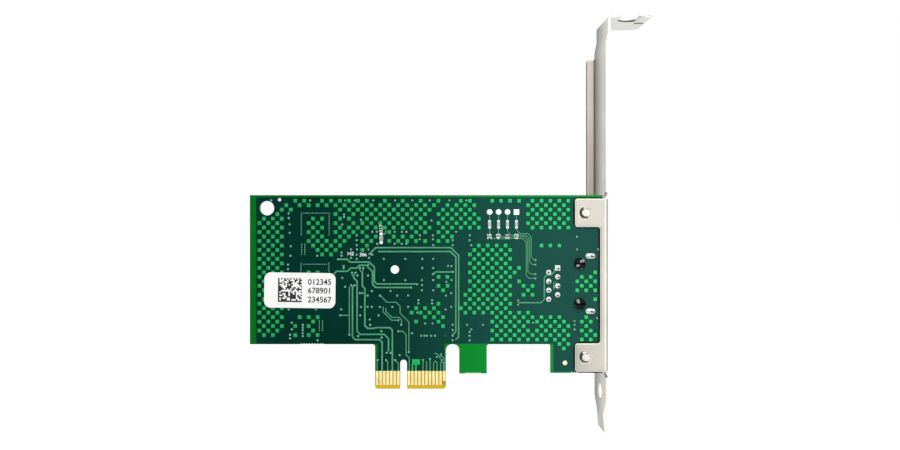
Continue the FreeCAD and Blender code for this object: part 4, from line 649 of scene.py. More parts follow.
# %% Via rows
VIA_ROWS = [   # height, then places along the card
    (53.5, -37.5, -26.5, -16.6, -13.8, -8.6, -2.4, 2.5, 7.4, 13.0, 17.8), (49.8, -32.6),
    (49.5, -16.9), (48.8, -16.9), (48.5, -32.6), (48.0, -12.1), (47.8, 7.9), (46.7, -32.3, -17.4),
    (44.6, -8.9, -7.6, -2.5, -0.5, 0.8, 14.9), (44.3, -32.3), (43.6, -13.3, 4.6, 8.3, 18.8),
    (42.5, 4.6, 8.3), (43.2, 49.2), (42.2, -13.3, 13.9, 18.7), (41.2, -7.5, -2.5, -0.5, 0.8),
    (40.8, -13.3, 8.4, 13.9, 19.2), (40.5, -32.0), (39.6, -14.9, -13.2, -10.0, 49.2, 55.1),
    (38.7, -17.6), (38.1, -13.3, -8.9), (37.8, -32.1, -24.5, -17.6), (37.2, -14.9, -9.8),
    (36.9, -13.3, -5.6, 0.5, 5.3, 8.4), (36.8, -18.6), (35.3, -32.8, -10.0),
    (34.9, -17.0, 12.6, 13.6), (34.3, -17.0, 5.3, 8.4), (34.0, -32.8), (32.2, -13.1, -10.1),
    (31.5, -17.4), (30.9, -5.6, 0.5, 5.2, 8.4, 13.6), (30.4, 12.1), (29.7, 3.8), (29.5, 5.2),
    (29.0, -16.6), (28.8, 2.1), (28.0, 5.2, 8.4), (27.8, -9.0, -3.7), (27.2, -12.4, -11.7, 13.5),
    (26.5, -10.2, -6.7, -1.8, 1.3, 12.0), (25.2, 4.2, 8.1), (24.3, 4.2, 8.1),
    (23.3, -12.1, -10.2, -9.0, -6.7, -3.2, 1.3, 13.5), (22.6, -32.6, -24.9, -17.7, 11.9),
    (21.7, 3.9), (20.9, -18.0, -12.3, -7.1), (20.1, 54.9), (19.7, -9.6), (19.5, -1.5), (19.3, 48.5),
    (18.8, -31.7, 36.7), (18.6, 6.1, 8.2), (18.2, -28.6, -9.5, -0.7, 13.9, 18.0, 22.5, 48.5),
    (17.4, -28.6), (16.9, -31.7, 19.2, 48.5), (16.7, -28.6, 13.9), (16.4, -6.3, -1.5), (16.2, 18.7),
    (15.8, -28.6, 2.4), (15.4, -32.2, -15.4), (15.1, 5.0, 5.9, 6.6, 7.8, 8.9, 13.9, 18.7),
    (15.0, -28.6, -12.9), (14.6, -6.2), (14.4, -32.2), (13.8, -24.4, 13.9, 18.7), (10.5, 1.5),
    (10.3, -4.8, -3.7), (9.8, 10.6), (9.6, -1.1), (9.1, 9.5), (8.5, 7.5),
    (8.2, -7.4, -5.0, -2.4, 5.5, 10.8), (36.6, 37.4), (35.3, 37.4), (32.6, 37.4), (31.4, 37.4),
    (28.9, 42.7), (25.1, 32.5), (23.9, 32.5), (38.4, -9.4), (32.6, 8.3), (33.2, 14.0),
    (29.4, -14.9, -13.9), (33.0, -14.6, -13.6), (34.3, -12.4, -11.5),
]
# Rows of small vias carry the signals of parts that stand close together on the other side.
FINE_ROWS = [   # first spot, last spot
    ((-28.4, 49.9), (-21.8, 49.9)), ((-29.0, 49.9), (-29.0, 43.8)), ((-21.1, 49.9), (-21.1, 43.8)),
    ((-28.3, 35.4), (-21.9, 35.4)), ((-29.1, 35.7), (-29.1, 33.4)), ((-21.2, 35.7), (-21.2, 33.4)),
    ((-28.9, 41.1), (-28.9, 38.2)), ((-28.0, 41.1), (-28.0, 38.2)),
    ((-23.9, 19.4), (-23.9, 16.6)), ((-23.0, 19.4), (-23.0, 16.6)),
]
FINE_PITCH = 0.5


# %% Via domes
VIA_RADIUS, VIA_TOP, FINE_RADIUS, FINE_TOP = 0.33, 0.05, 0.17, 0.04
RING_FOOT, RING_RIM, RING_TOP = VIA_RADIUS + 0.1, VIA_RADIUS + 0.06, 0.014   # the etched ring


def via(radius, height, steps):
    """A lacquered dome with a dimple."""
    return turned([(0, -0.01), (radius, -0.01), (0.8 * radius, height), (0.45 * radius, height),
                   (0, 0.5 * height)], steps)


def row_spots(first, last, pitch):
    """Evenly spaced spots from first to last."""
    first, last = Vector(first), Vector(last)
    count = max(1, round((last - first).length / pitch))
    return [tuple(first.lerp(last, step / count)) for step in range(count + 1)]


spots_of_vias = [(x, z) for z, *row in VIA_ROWS for x in row]
fine = [spot for first, last in FINE_ROWS for spot in row_spots(first, last, FINE_PITCH)]
etched = turned([(0, -0.01), (RING_FOOT, -0.01), (RING_RIM, RING_TOP), (0, RING_TOP)], 10)
drawing = bmesh.new()
stamp(drawing, etched, spots_of_vias, 1)
stamp(drawing, via(VIA_RADIUS, VIA_TOP, 10), spots_of_vias, 0)
stamp(drawing, via(FINE_RADIUS, FINE_TOP, 6), fine, 0)
piece("solder_side_vias", on_face(drawing), [via_green, gap_green])
print(len(spots_of_vias), "vias and", len(fine), "fine ones")

# %% [markdown]
# ## Copper squares
# Small copper squares fill the empty parts of the board, so the plating comes out even and the panel
# doesn't warp. The solids have plain blocks there. Under a poured lacquer each square has sloping
# shoulders, which catch the light, and stands in a dark etched frame, so both are made anew on the
# same places.

# %% Squares with shoulders
SHOULDER, FRAME = 0.13, 0.12   # width of a square's slope, and of the etched line round it
FRAME_TOP, SQUARE_TOP = 0.006, 0.055
blocks = solid_boxes("copper_squares")
square = blocks[0].wide


def stamp_squares(target, spots):
    """Adds a square in its frame at each spot of a drawing."""
    stamp(target, plate(square + 2 * FRAME, square + 2 * FRAME, FRAME_TOP), spots, 1)
    stamp(target, plate(square, square, SQUARE_TOP, SHOULDER), spots, 0)


drawing = bmesh.new()
square_spots = [(block.x, block.z) for block in blocks]
stamp_squares(drawing, square_spots)
# Two contacts beside the key notch share one patch of copper, on two stems.
for wide, tall, spot in ((2.2, 1.6, (3.5, 7.65)), (0.46, 2.0, (2.5, 6.05)), (0.46, 2.0, (3.5, 6.05))):
    stamp(drawing, plate(wide, tall, WIDE_TOP, SHOULDER), [spot], 0)
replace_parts(piece("lacquered_squares", on_face(drawing), [masked_copper, gap_green],
                  smooth=0), "copper_squares")

# %% [markdown]
# ## Gold contacts
# The contacts are copper plated with nickel and a thin layer of hard gold, so they are smooth but not
# mirror bright: a metal with a pale yellow base and a middling roughness. Long faint scratches run
# up and down, from the slot's springs.

# %% Gold plating
gold_plating = new_finish("hard_gold_over_nickel", "#FAEB9C", "#FFF5C0", 2.0, Metallic=1.0,
                          Roughness=(0.52, 0.64))
upright_marks(gold_plating, width=0.08, depth=0.002, stretch=25, detail=2.0)
give(gold_plating, "edge_contacts_solder_side", "edge_contacts_component_side")

# %% [markdown]
# ## White print
# The legend on a board is white ink, pushed through a fine screen, so it is matt and thin and lies on
# the lacquer. It has plain numbers, and bars, discs and frames for the parts. Numbers are text
# objects made mesh, and the rest are stamped plates.

# %% Ink and how it is laid
legend_ink = new_finish("screen_printed_ink", "#D5DDD8", "#F4F7F5", 0.6, grit=0.08, depth=0.006,
                        Roughness=(0.5, 0.7))
INK = 0.012                    # thickness of printed ink


def written(target, text, height, x, y, degrees=0, stretch=1.0, lift=0.0):
    """Adds text, centred on a spot, with figures of that height, to a drawing."""
    curve = bpy.data.curves.new("figures", "FONT")
    curve.body, curve.align_x, curve.align_y, curve.extrude = text, "CENTER", "CENTER", INK / 2
    curve.size, curve.resolution_u, curve.offset = height / 0.7, 3, 0.025 * height
    holder = bpy.data.objects.new("figures", curve)
    data = bpy.data.meshes.new_from_object(holder)
    turn = Matrix.Rotation(math.radians(degrees), 4, "Z")
    data.transform(Matrix.Translation((x, y, lift + INK / 2)) @ turn
                   @ Matrix.Diagonal((stretch, 1, 1, 1)))
    take_mesh(target, data, 0, holder, curve)


# %% Legend on the solder side
LIFT = 0.062                   # the ink lies over the squares
FIGURES, HEADER_FIGURES = 0.95, 1.15
POLE_X = -6.35                 # a diode's mark: two discs with four bars between them
drawing = bmesh.new()
for figures, x, z in (("142", -15.1, 38.35), ("306", -11.5, 38.05)):
    written(drawing, figures, FIGURES, x, z, lift=LIFT)
written(drawing, "517", FIGURES, POLE_X, 45.6, degrees=90, lift=LIFT)
stamp(drawing, disc(0.5, LIFT + INK), [(POLE_X, 44.0), (POLE_X, 41.6)])
stamp(drawing, plate(1.1, 0.14, LIFT + INK), [(POLE_X, 42.3 + 0.33 * step) for step in range(4)])
for x, figures in zip(HEADER_X, ("25", "43", "51", "62")):
    stamp(drawing, disc(0.43, LIFT + INK), [(x, 47.55), (x, 45.86)])
    stamp(drawing, plate(0.9, 0.13, LIFT + INK), [(x, 46.45), (x, 46.7), (x, 46.95)])
    written(drawing, figures, HEADER_FIGURES, x, 43.3, degrees=90, lift=LIFT)
piece("solder_side_legend", on_face(drawing), [legend_ink], smooth=0)

# %% [markdown]
# ## Stick-on label
# A card carries a small paper label for the workshop. Its print here is generic: a square block code
# that is drawn by chance from a fixed seed, with the usual solid border on two sides, and rows of
# plain numbers. The label is the CAD solid in coated paper, and the print is a thin layer on it.

# %% Label paper
label_paper = new_finish("coated_label_paper", "#F0F0EF", "#F6F6F5", 6.0, grit=0.2, depth=0.006,
                         Roughness=(0.45, 0.55), Specular_IOR_Level=0.3)
give(label_paper, "id_label")
label_black = new_finish("thermal_transfer_print", "#101011", "#1C1C1E", 0.5, grit=0.1, depth=0.004,
                         Roughness=(0.4, 0.6))

# %% Block code
CELLS, CODE_SIZE, FILLED = 16, 6.8, 0.46
CODE_X, CODE_Z = -2.8, 0.05    # the code's centre, from the label's
cell, last = CODE_SIZE / CELLS, CELLS - 1
seeded = random.Random(7)
cells = {(column, row) for column in range(CELLS) for row in range(CELLS) if seeded.random() < FILLED}
for step in range(CELLS):
    cells |= {(0, step), (step, 0)}
for step in range(CELLS):      # the other two sides alternate
    ends = {(last, step), (step, last)}
    cells = cells - ends if step % 2 else cells | ends
print(len(cells), "cells in the code")

# %% Label print
LABEL_TILT = -0.75
ROW_FIGURES, ROW_X = 1.6, 5.6
paper = node_box("id_label")
drawing = bmesh.new()
stamp(drawing, plate(cell, cell, INK, below=0.001),
      [(CODE_X + (column - last / 2) * cell, CODE_Z + (row - last / 2) * cell)
       for column, row in sorted(cells)])
for figures, up in (("012345", 2.35), ("678901", -0.1), ("234567", -2.65)):
    written(drawing, figures, ROW_FIGURES, ROW_X, up, stretch=0.98)
drawing.transform(Matrix.Translation((paper.x, paper.z, board.y0 - paper.y0))
                  @ Matrix.Rotation(math.radians(LABEL_TILT), 4, "Z"))
piece("label_print", on_face(drawing), [label_black], smooth=0)

# %% [markdown]
# ## Solder joints
# A joint is solder that climbed the pin and wetted the pad, so it is a low cone with a hollow flank
# and a rounded top. Each is turned from one profile. Lead-free solder is grey-white and a little
# frosted; its flanks mirror the bright room around the card and its top the dark side of the room.

# %% Solder and tin
solder = new_finish("lead_free_solder", "#F8F8F7", "#FFFFFE", 0.5, grit=0.25, depth=0.01, Metallic=1.0,
                    Roughness=(0.55, 0.68))
tinned = new_finish("dull_tin_plating", "#C9CACA", "#DDDDDB", 0.8, grit=0.1, depth=0.003, Metallic=1.0,
                    Roughness=(0.28, 0.4))
POUR = [(0, -0.01), (1, -0.01), (0.98, 0.1), (0.82, 0.34), (0.6, 0.52), (0.46, 0.76), (0.4, 0.9),
        (0.26, 0.98), (0, 1)]  # shares of the joint's radius and height, from foot to top


def poured(radius, height, longer):
    """A joint of that radius, with its top at that height, drawn out along local X."""
    shape = turned([(radius * across, height * up) for across, up in POUR], 20)
    for vert in shape.verts:
        if abs(vert.co.x) > 1e-4:
            vert.co.x += math.copysign(min(abs(vert.co.x) * 4, 1) * longer / 2, vert.co.x)
    return shape


# %% Jack joints
PINS = 8                       # the first joints are the pins', the last two the shield's legs'
SPREAD = 1.02                  # solder wets a little more than the joint's own box
PIN_PAD = 1.5                  # the first pin's pad is square, and this wide
drawing = bmesh.new()
for joint in joints:
    radius, high = joint.tall / 2 * SPREAD, board.y0 - joint.y0
    stamp(drawing, poured(radius, high, joint.wide - joint.tall), [(joint.x, joint.z)])
pin_one = max(joints[PINS // 2:PINS], key=lambda joint: joint.z)
stamp(drawing, plate(PIN_PAD, PIN_PAD, 0.08, 0.06), [(pin_one.x, pin_one.z)])
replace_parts(piece("jack_joints", on_face(drawing), [solder]), "jack_solder_joints")

# %% Header joints
BEAD = [(0, -0.01), (0.8, -0.01), (0.78, 0.1), (0.62, 0.22), (0.4, 0.29), (0.15, 0.32), (0, 0.32)]
FLAT_TOP, FLAT_SLOPE = 0.07, 0.05
*beads, flat_pad = solid_boxes("header_solder")   # three filled holes and a square pad
drawing = bmesh.new()
stamp(drawing, turned(BEAD, 20), [(bead.x, bead.z) for bead in beads])
stamp(drawing, plate(flat_pad.wide, flat_pad.tall, FLAT_TOP, FLAT_SLOPE), [(flat_pad.x, flat_pad.z)])
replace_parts(piece("header_joints", on_face(drawing), [solder]), "header_solder")

# %% [markdown]
# ## Painted dark spots on the solder
# Each tip gets a low dark disc, a painted reflection of the dark side of the room on the joint's top.
# Each sits a little off its middle by chance from a fixed seed. The shield's legs are wide and have
# two each.

# %% Painted dark spots on the tips
TIP_OVER = 0.41                # how far the pins' and legs' tips stand over their joints
painted_tip_reflection = new_finish("painted_dark_reflection", "#0E0D0B", "#22201B", 0.3, grit=0.1, depth=0.01,
                      Roughness=(0.3, 0.5))
# Painted reflection: a dark disc for each tip.
pit = turned([(0, -0.02), (0.29, -0.02), (0.26, 0.02), (0, 0.03)], 12)
drawing = bmesh.new()
chance = random.Random(3)
for index, joint in enumerate(joints):
    if index < PINS:
        dark_spots = [(joint.x + chance.uniform(-0.16, 0.2), joint.z + chance.uniform(-0.2, 0.12))]
    else:
        dark_spots = [(joint.x + 0.15, joint.z + 0.02), (joint.x + 0.6, joint.z - 0.1)]
    stamp(drawing, pit, dark_spots, lift=board.y0 - joint.y0 + TIP_OVER, keep=True)
pit.free()
piece("painted_tip_spots", on_face(drawing), [painted_tip_reflection])

# %% [markdown]
# ## Ground plug
# One wide hole is filled with solder. The fill sank as it froze, so a raised rim is left round it.

# %% Rim of the ground plug
PLUG_RIM = [(0, -0.01), (1.2, -0.01), (1.17, 0.07), (0.95, 0.09), (0.8, 0.06), (0.68, 0.02), (0.5, 0.01),
            (0, 0.03)]
plug = node_box("ground_plug")
drawing = bmesh.new()
stamp(drawing, turned(PLUG_RIM, 24), [(plug.x, plug.z)])
piece("ground_plug_rim", on_face(drawing), [solder])
give(solder, "ground_plug")

# %% [markdown]
# ## Plated holes
# The tooling hole near the corner is plated, and so is the test hole beside the leg. A plated hole
# shows as a bright ring with a tube in it. The CAD holes are bare, so a turned liner goes in each.

# %% Liners
LINER_TOP, LINER_DEPTH, WALL = 0.03, 1.5, 0.08


def liner(radius, flange):
    """A thin tube with a flange on the face, turned from one closed section."""
    return turned([(radius - WALL, LINER_TOP), (radius + flange, LINER_TOP), (radius + flange, -0.005),
                   (radius, -0.005), (radius, -LINER_DEPTH), (radius - WALL, -LINER_DEPTH)],
                  steps=24, ring=True)


for name, radius, flange, spot, finish, slot in (
        ("test_hole_liner", 0.6, 0.06, (45.8, 7.4), gold_plating, "gold_plating"),
        ("tooling_hole_liner", 0.5, 0.05, (-35.2, 53.7), tinned, "solder")):
    drawing = bmesh.new()
    stamp(drawing, liner(radius, flange), [spot])
    piece(name, on_face(drawing), [finish])

# %% [markdown]
# ## Steel bracket
# The bracket is cold-rolled steel under a thin bright zinc or nickel plating, stamped and folded. The
# stamp leaves its edges slightly rounded, and that bright line along each edge is what makes sheet
# metal look thick. So a copy of the solid is merged, its flat faces are joined, and every sharp edge
# gets a small bevel.

# %% Eased copies of solids
def eased(name, width, finishes, steps=2, sharpest=28):
    """Replaces a CAD node by a copy with a bevel, in millimetres, on its edges over those degrees."""
    shape = bmesh.new()
    shape.from_mesh(frame["nodes"][name].data)
    shape.transform(Matrix.Scale(1 / MM, 4))
    bmesh.ops.remove_doubles(shape, verts=shape.verts, dist=WELD)
    bmesh.ops.dissolve_limit(shape, angle_limit=math.radians(0.5), verts=shape.verts, edges=shape.edges)
    edges = [edge for edge in shape.edges
             if edge.is_manifold and edge.calc_face_angle() > math.radians(sharpest)]
    bmesh.ops.bevel(shape, geom=edges, offset=width, offset_type="OFFSET", segments=steps, profile=0.5,
                    affect="EDGES", clamp_overlap=False, material=-1)
    made = piece(name + "_eased", shape, finishes, smooth=50)
    made.modifiers.new("flat faces stay flat", "WEIGHTED_NORMAL").keep_sharp = True
    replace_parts(made, name)
    return made


# %% [markdown]
# ## Plated steel
# Rolled and plated sheet is a metal with fine marks along the strip. The bracket has five copies of
# that steel, with light and shade painted in: the outside is plain, the inside is painted darker towards
# the far fold, where the flange shades it, the rims and what faces the camera are painted near-white
# highlights, the lip is painted lighter, and the bends and the cut-outs are painted dark as shade.

# %% Steel finishes
def steel(name, dark, light, roughness):
    """Plated steel. Rolling marks run along the strip, drawn coarser than real so that they show."""
    finish = new_finish(name, dark, light, 9.0, Metallic=1.0, Roughness=roughness)
    upright_marks(finish, width=0.22, depth=0.003, stretch=1 / 0.03, detail=3.0)
    return finish


bracket_steel = steel("nickel_plated_steel", "#B2AFA5", "#BEBBB1", (0.34, 0.44))
# Painted highlight: a near-white copy of the steel for rims and faces towards the camera.
painted_highlight_steel = steel("painted_highlight_edge", "#FBEFE6", "#FFF9F2", (0.66, 0.8))
# Painted light: a lighter copy of the steel for the lip.
painted_light_lip_steel = steel("nickel_plated_steel_lip_painted_light", "#E0E2DD", "#ECEEEA", (0.45, 0.55))
# Painted shade: a dark copy of the steel for the bends, the flange's end and the cut-outs.
painted_shade_steel = steel("painted_shade_in_bends", "#46443E", "#5C5A52", (0.4, 0.55))
inner_steel_painted_shade = steel("nickel_plated_steel_inside_painted_shade", "#C6C5BF", "#D6D5D0", (0.38, 0.5))
# Painted shade: the inside darkens towards the far fold, where the flange shades it.
fade(inner_steel_painted_shade, "y", start=2, end=16, code="#73716A")

# %% [markdown]
# ## Which face has which steel
# The eased copy of the bracket has all five kinds of steel. A face gets its own by where it lies and
# which way it points: what points out of the solder side gets the painted highlight, but for the
# tabs' flat faces, where only the rounded rim does.

# %% Bracket
OUTSIDE, INSIDE, HIGHLIT, SHADED, LIP = range(5)
BRACKET_STEELS = [bracket_steel, inner_steel_painted_shade, painted_highlight_steel, painted_shade_steel, painted_light_lip_steel]
TABS = (5.0, 54.0)             # the lower edge of one tab and the upper edge of the other
LIP_X, LIP_Z, NOTCH_Y = 58.6, 100, 0.5     # where the lip stands out, and where its cut-outs start
INSIDE_Y, TAIL_Z = 12, -5      # the stiffening flange lies behind the one, the tail below the other
bracket_piece = eased("mounting_bracket", 0.34, BRACKET_STEELS, steps=4, sharpest=60)
flange_end = min(vert.co.x for vert in bracket_piece.data.vertices
                 if vert.co.y > INSIDE_Y * MM and vert.co.z > 60 * MM) / MM


def steel_of(spot, normal):
    """The kind of steel of a face with that centre, in millimetres, and normal."""
    by_tabs = TABS[0] - 0.1 < spot.z < TABS[1] + 0.1 and spot.y < 0
    if spot.x > LIP_X and spot.z > LIP_Z:
        # Painted shade on the walls of the lip's cut-outs.
        if abs(normal.z) < 0.5 and normal.y < -0.3:
            return SHADED if spot.y > NOTCH_Y else OUTSIDE
        return LIP
    # Painted shade in the inner bend and on the flange's end.
    if spot.y > INSIDE_Y and normal.x < -0.25:
        if normal.y < -0.25 and spot.x > flange_end + 1 or spot.x < flange_end + 0.3:
            return SHADED
    # The plate's inner face, with its painted shade.
    if normal.x < -0.9 and spot.y > board.y0 and spot.z > TAIL_Z:
        return INSIDE
    # Painted highlight on the tabs' rims, and on faces towards the camera elsewhere.
    if by_tabs:
        highlit = -0.97 < normal.y < -0.15 and normal.x < 0.3
    else:
        highlit = normal.y < (-0.05 if spot.z < TAIL_Z else -0.5)
    return HIGHLIT if highlit else OUTSIDE


for face in bracket_piece.data.polygons:
    face.material_index = steel_of(face.center / MM, face.normal)
print("a bracket in", len(BRACKET_STEELS), "kinds of steel")

# %% [markdown]
# ## Painted shadow beside the bracket
# A narrow dark line, the bracket's painted shadow on the board, follows the edge of the tabs and of the
# strip between them. It is made as thin plates that lie under the steel and stand out past its edge,
# with their corners cut in.

# %% Painted shadow line
SHADOW_OUT, SHADOW_TOP = 0.38, 0.006  # how far it stands out past the steel, and its height
TAB_REACH, TAB_TALL, STRIP_REACH = 7.95, 8.05, 0.85
CORNER = 0.8 + SHADOW_OUT           # how much of the line is left out at a tab's corner
# Painted shadow: a near-black sheet along the steel's edge.
painted_bracket_shadow = new_finish("painted_bracket_shadow", "#04100D", "#0A1A15", 0.5, grit=0.1, depth=0.01,
                           Roughness=(0.5, 0.65), Specular_IOR_Level=0.1)
around = plate(TAB_REACH + SHADOW_OUT, TAB_TALL + 2 * SHADOW_OUT, SHADOW_TOP, below=0.02)
upright = [edge for edge in around.edges if abs(edge.verts[0].co.z - edge.verts[1].co.z) > 0.02]
bmesh.ops.bevel(around, geom=upright, offset=CORNER, segments=6, affect="EDGES", material=-1)
wide, tall = STRIP_REACH + SHADOW_OUT, TABS[1] - TABS[0] - TAB_TALL
drawing = bmesh.new()
stamp(drawing, around, [(board.x1 - (TAB_REACH + SHADOW_OUT) / 2, up + TAB_TALL / 2)
                        for up in (TABS[0], TABS[1] - TAB_TALL)])
stamp(drawing, plate(wide, tall, SHADOW_TOP + 0.002, below=0.02), [(board.x1 - wide / 2, sum(TABS) / 2)])
piece("painted_tab_shadow", on_face(drawing), [painted_bracket_shadow], smooth=0)

# %% [markdown]
# ## Screws
# Two short screws come through the board and the bracket's tabs. From the solder side one sees the
# flat cut tip with its bevel, deep in the tab's hole; from the other side a low head with a cross
# recess. Tip and threads are turned, and the recess is an outline that is filled and pushed in. The
# groove round a tip is painted dark as painted shadow, on the side that the tab's edge shades.

# %% Screw steel and sizes
screw_steel = new_finish("zinc_plated_steel", "#D3D0C8", "#E4E1DA", 1.5, grit=0.2, depth=0.004,
                         Metallic=1.0, Roughness=(0.2, 0.34))
# A dark copy of the steel, used as painted shadow in the groove.
screw_painted_shadow = new_finish("painted_shadow_in_groove", "#4A4946", "#605E5A", 0.6, grit=0.2, depth=0.01,
                        Metallic=0.6, Roughness=(0.4, 0.6))
screws = solid_boxes("bracket_screws")
TIP_RADIUS, SHANK_RADIUS, THREAD, THREAD_DEPTH = 1.05, 1.49, 0.5, 0.28
HEAD_RADIUS, PLATEAU, HEAD_HEIGHT = screws[0].wide / 2, 1.9, 2.0
tip, head_top = -screws[0].y0, -screws[0].y1     # heights along the screw, from the board's middle
head_foot = head_top + HEAD_HEIGHT
print(len(screws), "screws,", round(tip - head_top, 2), "mm long")


# %% Cross recess
def cross_recess(reach, half_width, depth):
    """A disc with a cross-shaped pit, facing up."""
    shape = bmesh.new()
    bmesh.ops.create_circle(shape, cap_ends=False, segments=24, radius=PLATEAU)
    corners = []
    for quarter in range(4):
        turn = Matrix.Rotation(math.radians(90 * quarter), 3, "Z")
        corners += [turn @ Vector(spot) for spot in
                    ((half_width, -reach, 0), (half_width, -half_width, 0), (reach, -half_width, 0))]
    verts = [shape.verts.new(corner) for corner in corners]
    outline = [shape.edges.new(pair) for pair in zip(verts, verts[1:] + verts[:1])]
    bmesh.ops.triangle_fill(shape, edges=shape.edges[:], use_beauty=True, use_dissolve=False)
    # The fill also covers the cross itself where it is free to; those faces are the pit's floor.
    inside = [face for face in shape.faces if all(vert in verts for vert in face.verts)]
    bmesh.ops.delete(shape, geom=inside, context="FACES_ONLY")
    walls = bmesh.ops.extrude_edge_only(shape, edges=outline)["geom"]
    low = [part for part in walls if isinstance(part, bmesh.types.BMVert)]
    bmesh.ops.translate(shape, verts=low, vec=(0, 0, -depth))
    bmesh.ops.scale(shape, verts=low, vec=(0.8, 0.8, 1))
    rims = [part for part in walls if isinstance(part, bmesh.types.BMEdge)]
    bmesh.ops.contextual_create(shape, geom=rims)
    bmesh.ops.recalc_face_normals(shape, faces=shape.faces)
    return shape


# %% Turned screws
FIRST_TURN = 0.4               # from the tip to the first ridge of the thread
profile = [(0, tip), (TIP_RADIUS, tip), (1.12, tip - 0.12), (1.2, tip - 0.1),
           (SHANK_RADIUS + 0.05, tip - 0.35)]
for turn in range(int((tip - FIRST_TURN - head_foot) / THREAD)):
    up = tip - FIRST_TURN - turn * THREAD
    profile += [(SHANK_RADIUS, up), (SHANK_RADIUS - THREAD_DEPTH, up - THREAD / 2)]
profile += [(SHANK_RADIUS - 0.2, head_foot), (HEAD_RADIUS - 0.1, head_foot),
            (HEAD_RADIUS, head_foot - 0.15), (HEAD_RADIUS - 0.1, head_foot - 0.9),
            (HEAD_RADIUS - 0.6, head_top + 0.15), (PLATEAU, head_top)]
shape = turned(profile, 24)
top = cross_recess(1.35, 0.24, 0.9)
top.transform(Matrix.Rotation(math.pi, 4, "X"))
stamp(shape, top, [(0, 0)], lift=head_top)
bmesh.ops.remove_doubles(shape, verts=shape.verts, dist=0.02)
bmesh.ops.recalc_face_normals(shape, faces=shape.faces)
drawing = bmesh.new()
stamp(drawing, shape, [(screw.x, screw.z, 20 + 35 * index) for index, screw in enumerate(screws)])
drawing.transform(LAY_DOWN)

# %% Painted shadow in the groove
GROOVE = (TIP_RADIUS, 1.6)     # its inner and outer radius
for face in drawing.faces:
    spot = face.calc_center_median()
    across, up = min(((spot.x - screw.x, spot.z - screw.z) for screw in screws),
                     key=lambda away: math.hypot(*away))
    in_groove = spot.y < board.y0 and GROOVE[0] < math.hypot(across, up) < GROOVE[1]
    # Painted shadow: only part of the groove, on one side of each tip, is dark.
    face.material_index = int(in_groove and across < 0.6 and up < 1.2)
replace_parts(piece("turned_screws", drawing, [screw_steel, screw_painted_shadow], smooth=18),
            "bracket_screws")

# %% [markdown]
# ## Network jack
# The jack stands on the other side. What comes through the board is what one sees here: two split
# plastic posts, eight tinned pins and the two legs of the shield. The housing is black thermoplastic
# straight from a polished mould, with pale patches painted on the post tips as painted glints.

# %% Housing plastic
GLINT_PATCH = 1.1                    # size of the painted glint patches
GLINT_REACH = (0.3, 0.6)           # they start and are full this far out of the board
housing_plastic = new_finish("moulded_black_thermoplastic", "#070708", "#0E0E0F", 4.0, grit=0.7,
                             depth=0.05, Roughness=(0.14, 0.24), Specular_IOR_Level=0.16)
tree = housing_plastic.node_tree
shader = tree.nodes["Principled BSDF"]
black = shader.inputs["Base Color"].links[0].from_node
place = add(tree, "TexCoord").outputs["Object"]
glint_noise = add(tree, "TexNoise", {"Vector": place, "Scale": 1 / (GLINT_PATCH * MM), "Detail": 3.0})
outside = add(tree, "MapRange", {0: add(tree, "SeparateXYZ", {0: place}).outputs[1],
                                 1: (board.y0 - GLINT_REACH[0]) * MM, 2: (board.y0 - GLINT_REACH[1]) * MM})
# Painted glints: pale patches on the post tips stand in for highlights.
painted_glints = add(tree, "MapRange", {0: glint_noise, 1: 0.56, 2: 0.66, 4: outside})
black_with_glints = add(tree, "Mix", {0: painted_glints, 6: black, 7: "#B4B4B2"}, data_type="RGBA").outputs[2]
tree.links.new(black_with_glints, shader.inputs["Base Color"])
give(housing_plastic, "jack_housing")

# %% [markdown]
# ## Shield and contact wires
# The shield is folded from thin tinned steel. The contact wires are phosphor bronze, gold at the
# plug's end and tinned where they are soldered, so their colour changes with depth.

# %% Shield and wires
shield_steel = new_finish("tinned_shield_steel", "#C6C7C6", "#D9DAD8", 5.0, grit=0.3, depth=0.004,
                          Metallic=1.0, Roughness=(0.24, 0.36))
contact_wire = new_finish("gold_flash_on_bronze", "#F2C75A", "#FFE08A", 1.0, grit=0.1, depth=0.002,
                          Metallic=1.0, Roughness=(0.22, 0.32))
fade(contact_wire, "y", start=2.2, end=1.4, code="#D4D5D4")
give(contact_wire, "jack_contacts")
eased("jack_shield", 0.05, [shield_steel])

# %% [markdown]
# ## Moulded packages
# Chips are cast in black epoxy that is filled with glass powder: a matt, very dark grey with fine
# sparkle, and a small round mould mark by the first pin. Their edges are slightly eased, as the
# mould's are, and their leads are copper under dull tin.

# %% Packages and leads
mould_compound = new_finish("glass_filled_epoxy", "#161617", "#202123", 1.2, grit=0.09, depth=0.012,
                            Roughness=(0.5, 0.62), Specular_IOR_Level=0.4)
module_plastic = new_finish("moulded_module_case", "#101113", "#1A1B1E", 3.0, grit=0.3, depth=0.02,
                            Roughness=(0.38, 0.5), Specular_IOR_Level=0.45)
marking = new_finish("laser_mark", "#8B8D8C", "#A3A5A4", 0.3, grit=0.08, depth=0.004,
                     Roughness=(0.6, 0.75))
for name, width in (("controller_package", 0.06), ("flash_memory", 0.1), ("regulator", 0.1)):
    eased(name, width, [mould_compound])
eased("magnetics_module", 0.25, [module_plastic], steps=3)
give(tinned, "controller_pads", "flash_leads", "regulator_leads", "magnetics_leads")

# %% Marks by the first pin
for name, radius, inwards in (("controller_package", 0.35, 0.9), ("flash_memory", 0.3, 0.6),
                              ("magnetics_module", 0.55, 1.4)):
    body = node_box(name)
    drawing = bmesh.new()
    stamp(drawing, disc(radius, 0.008), [(-(body.x0 + inwards), body.z1 - inwards)],
          lift=body.y1 - board.y1)
    piece(name + "_marks", on_face(drawing, "component"), [marking], smooth=0)

# %% [markdown]
# ## Crystal and inductor
# The crystal sits in a drawn steel can with a rolled edge, on a thin plastic seat. The inductor is a
# pressed block of iron powder: dark grey, grainy, with tinned ends.

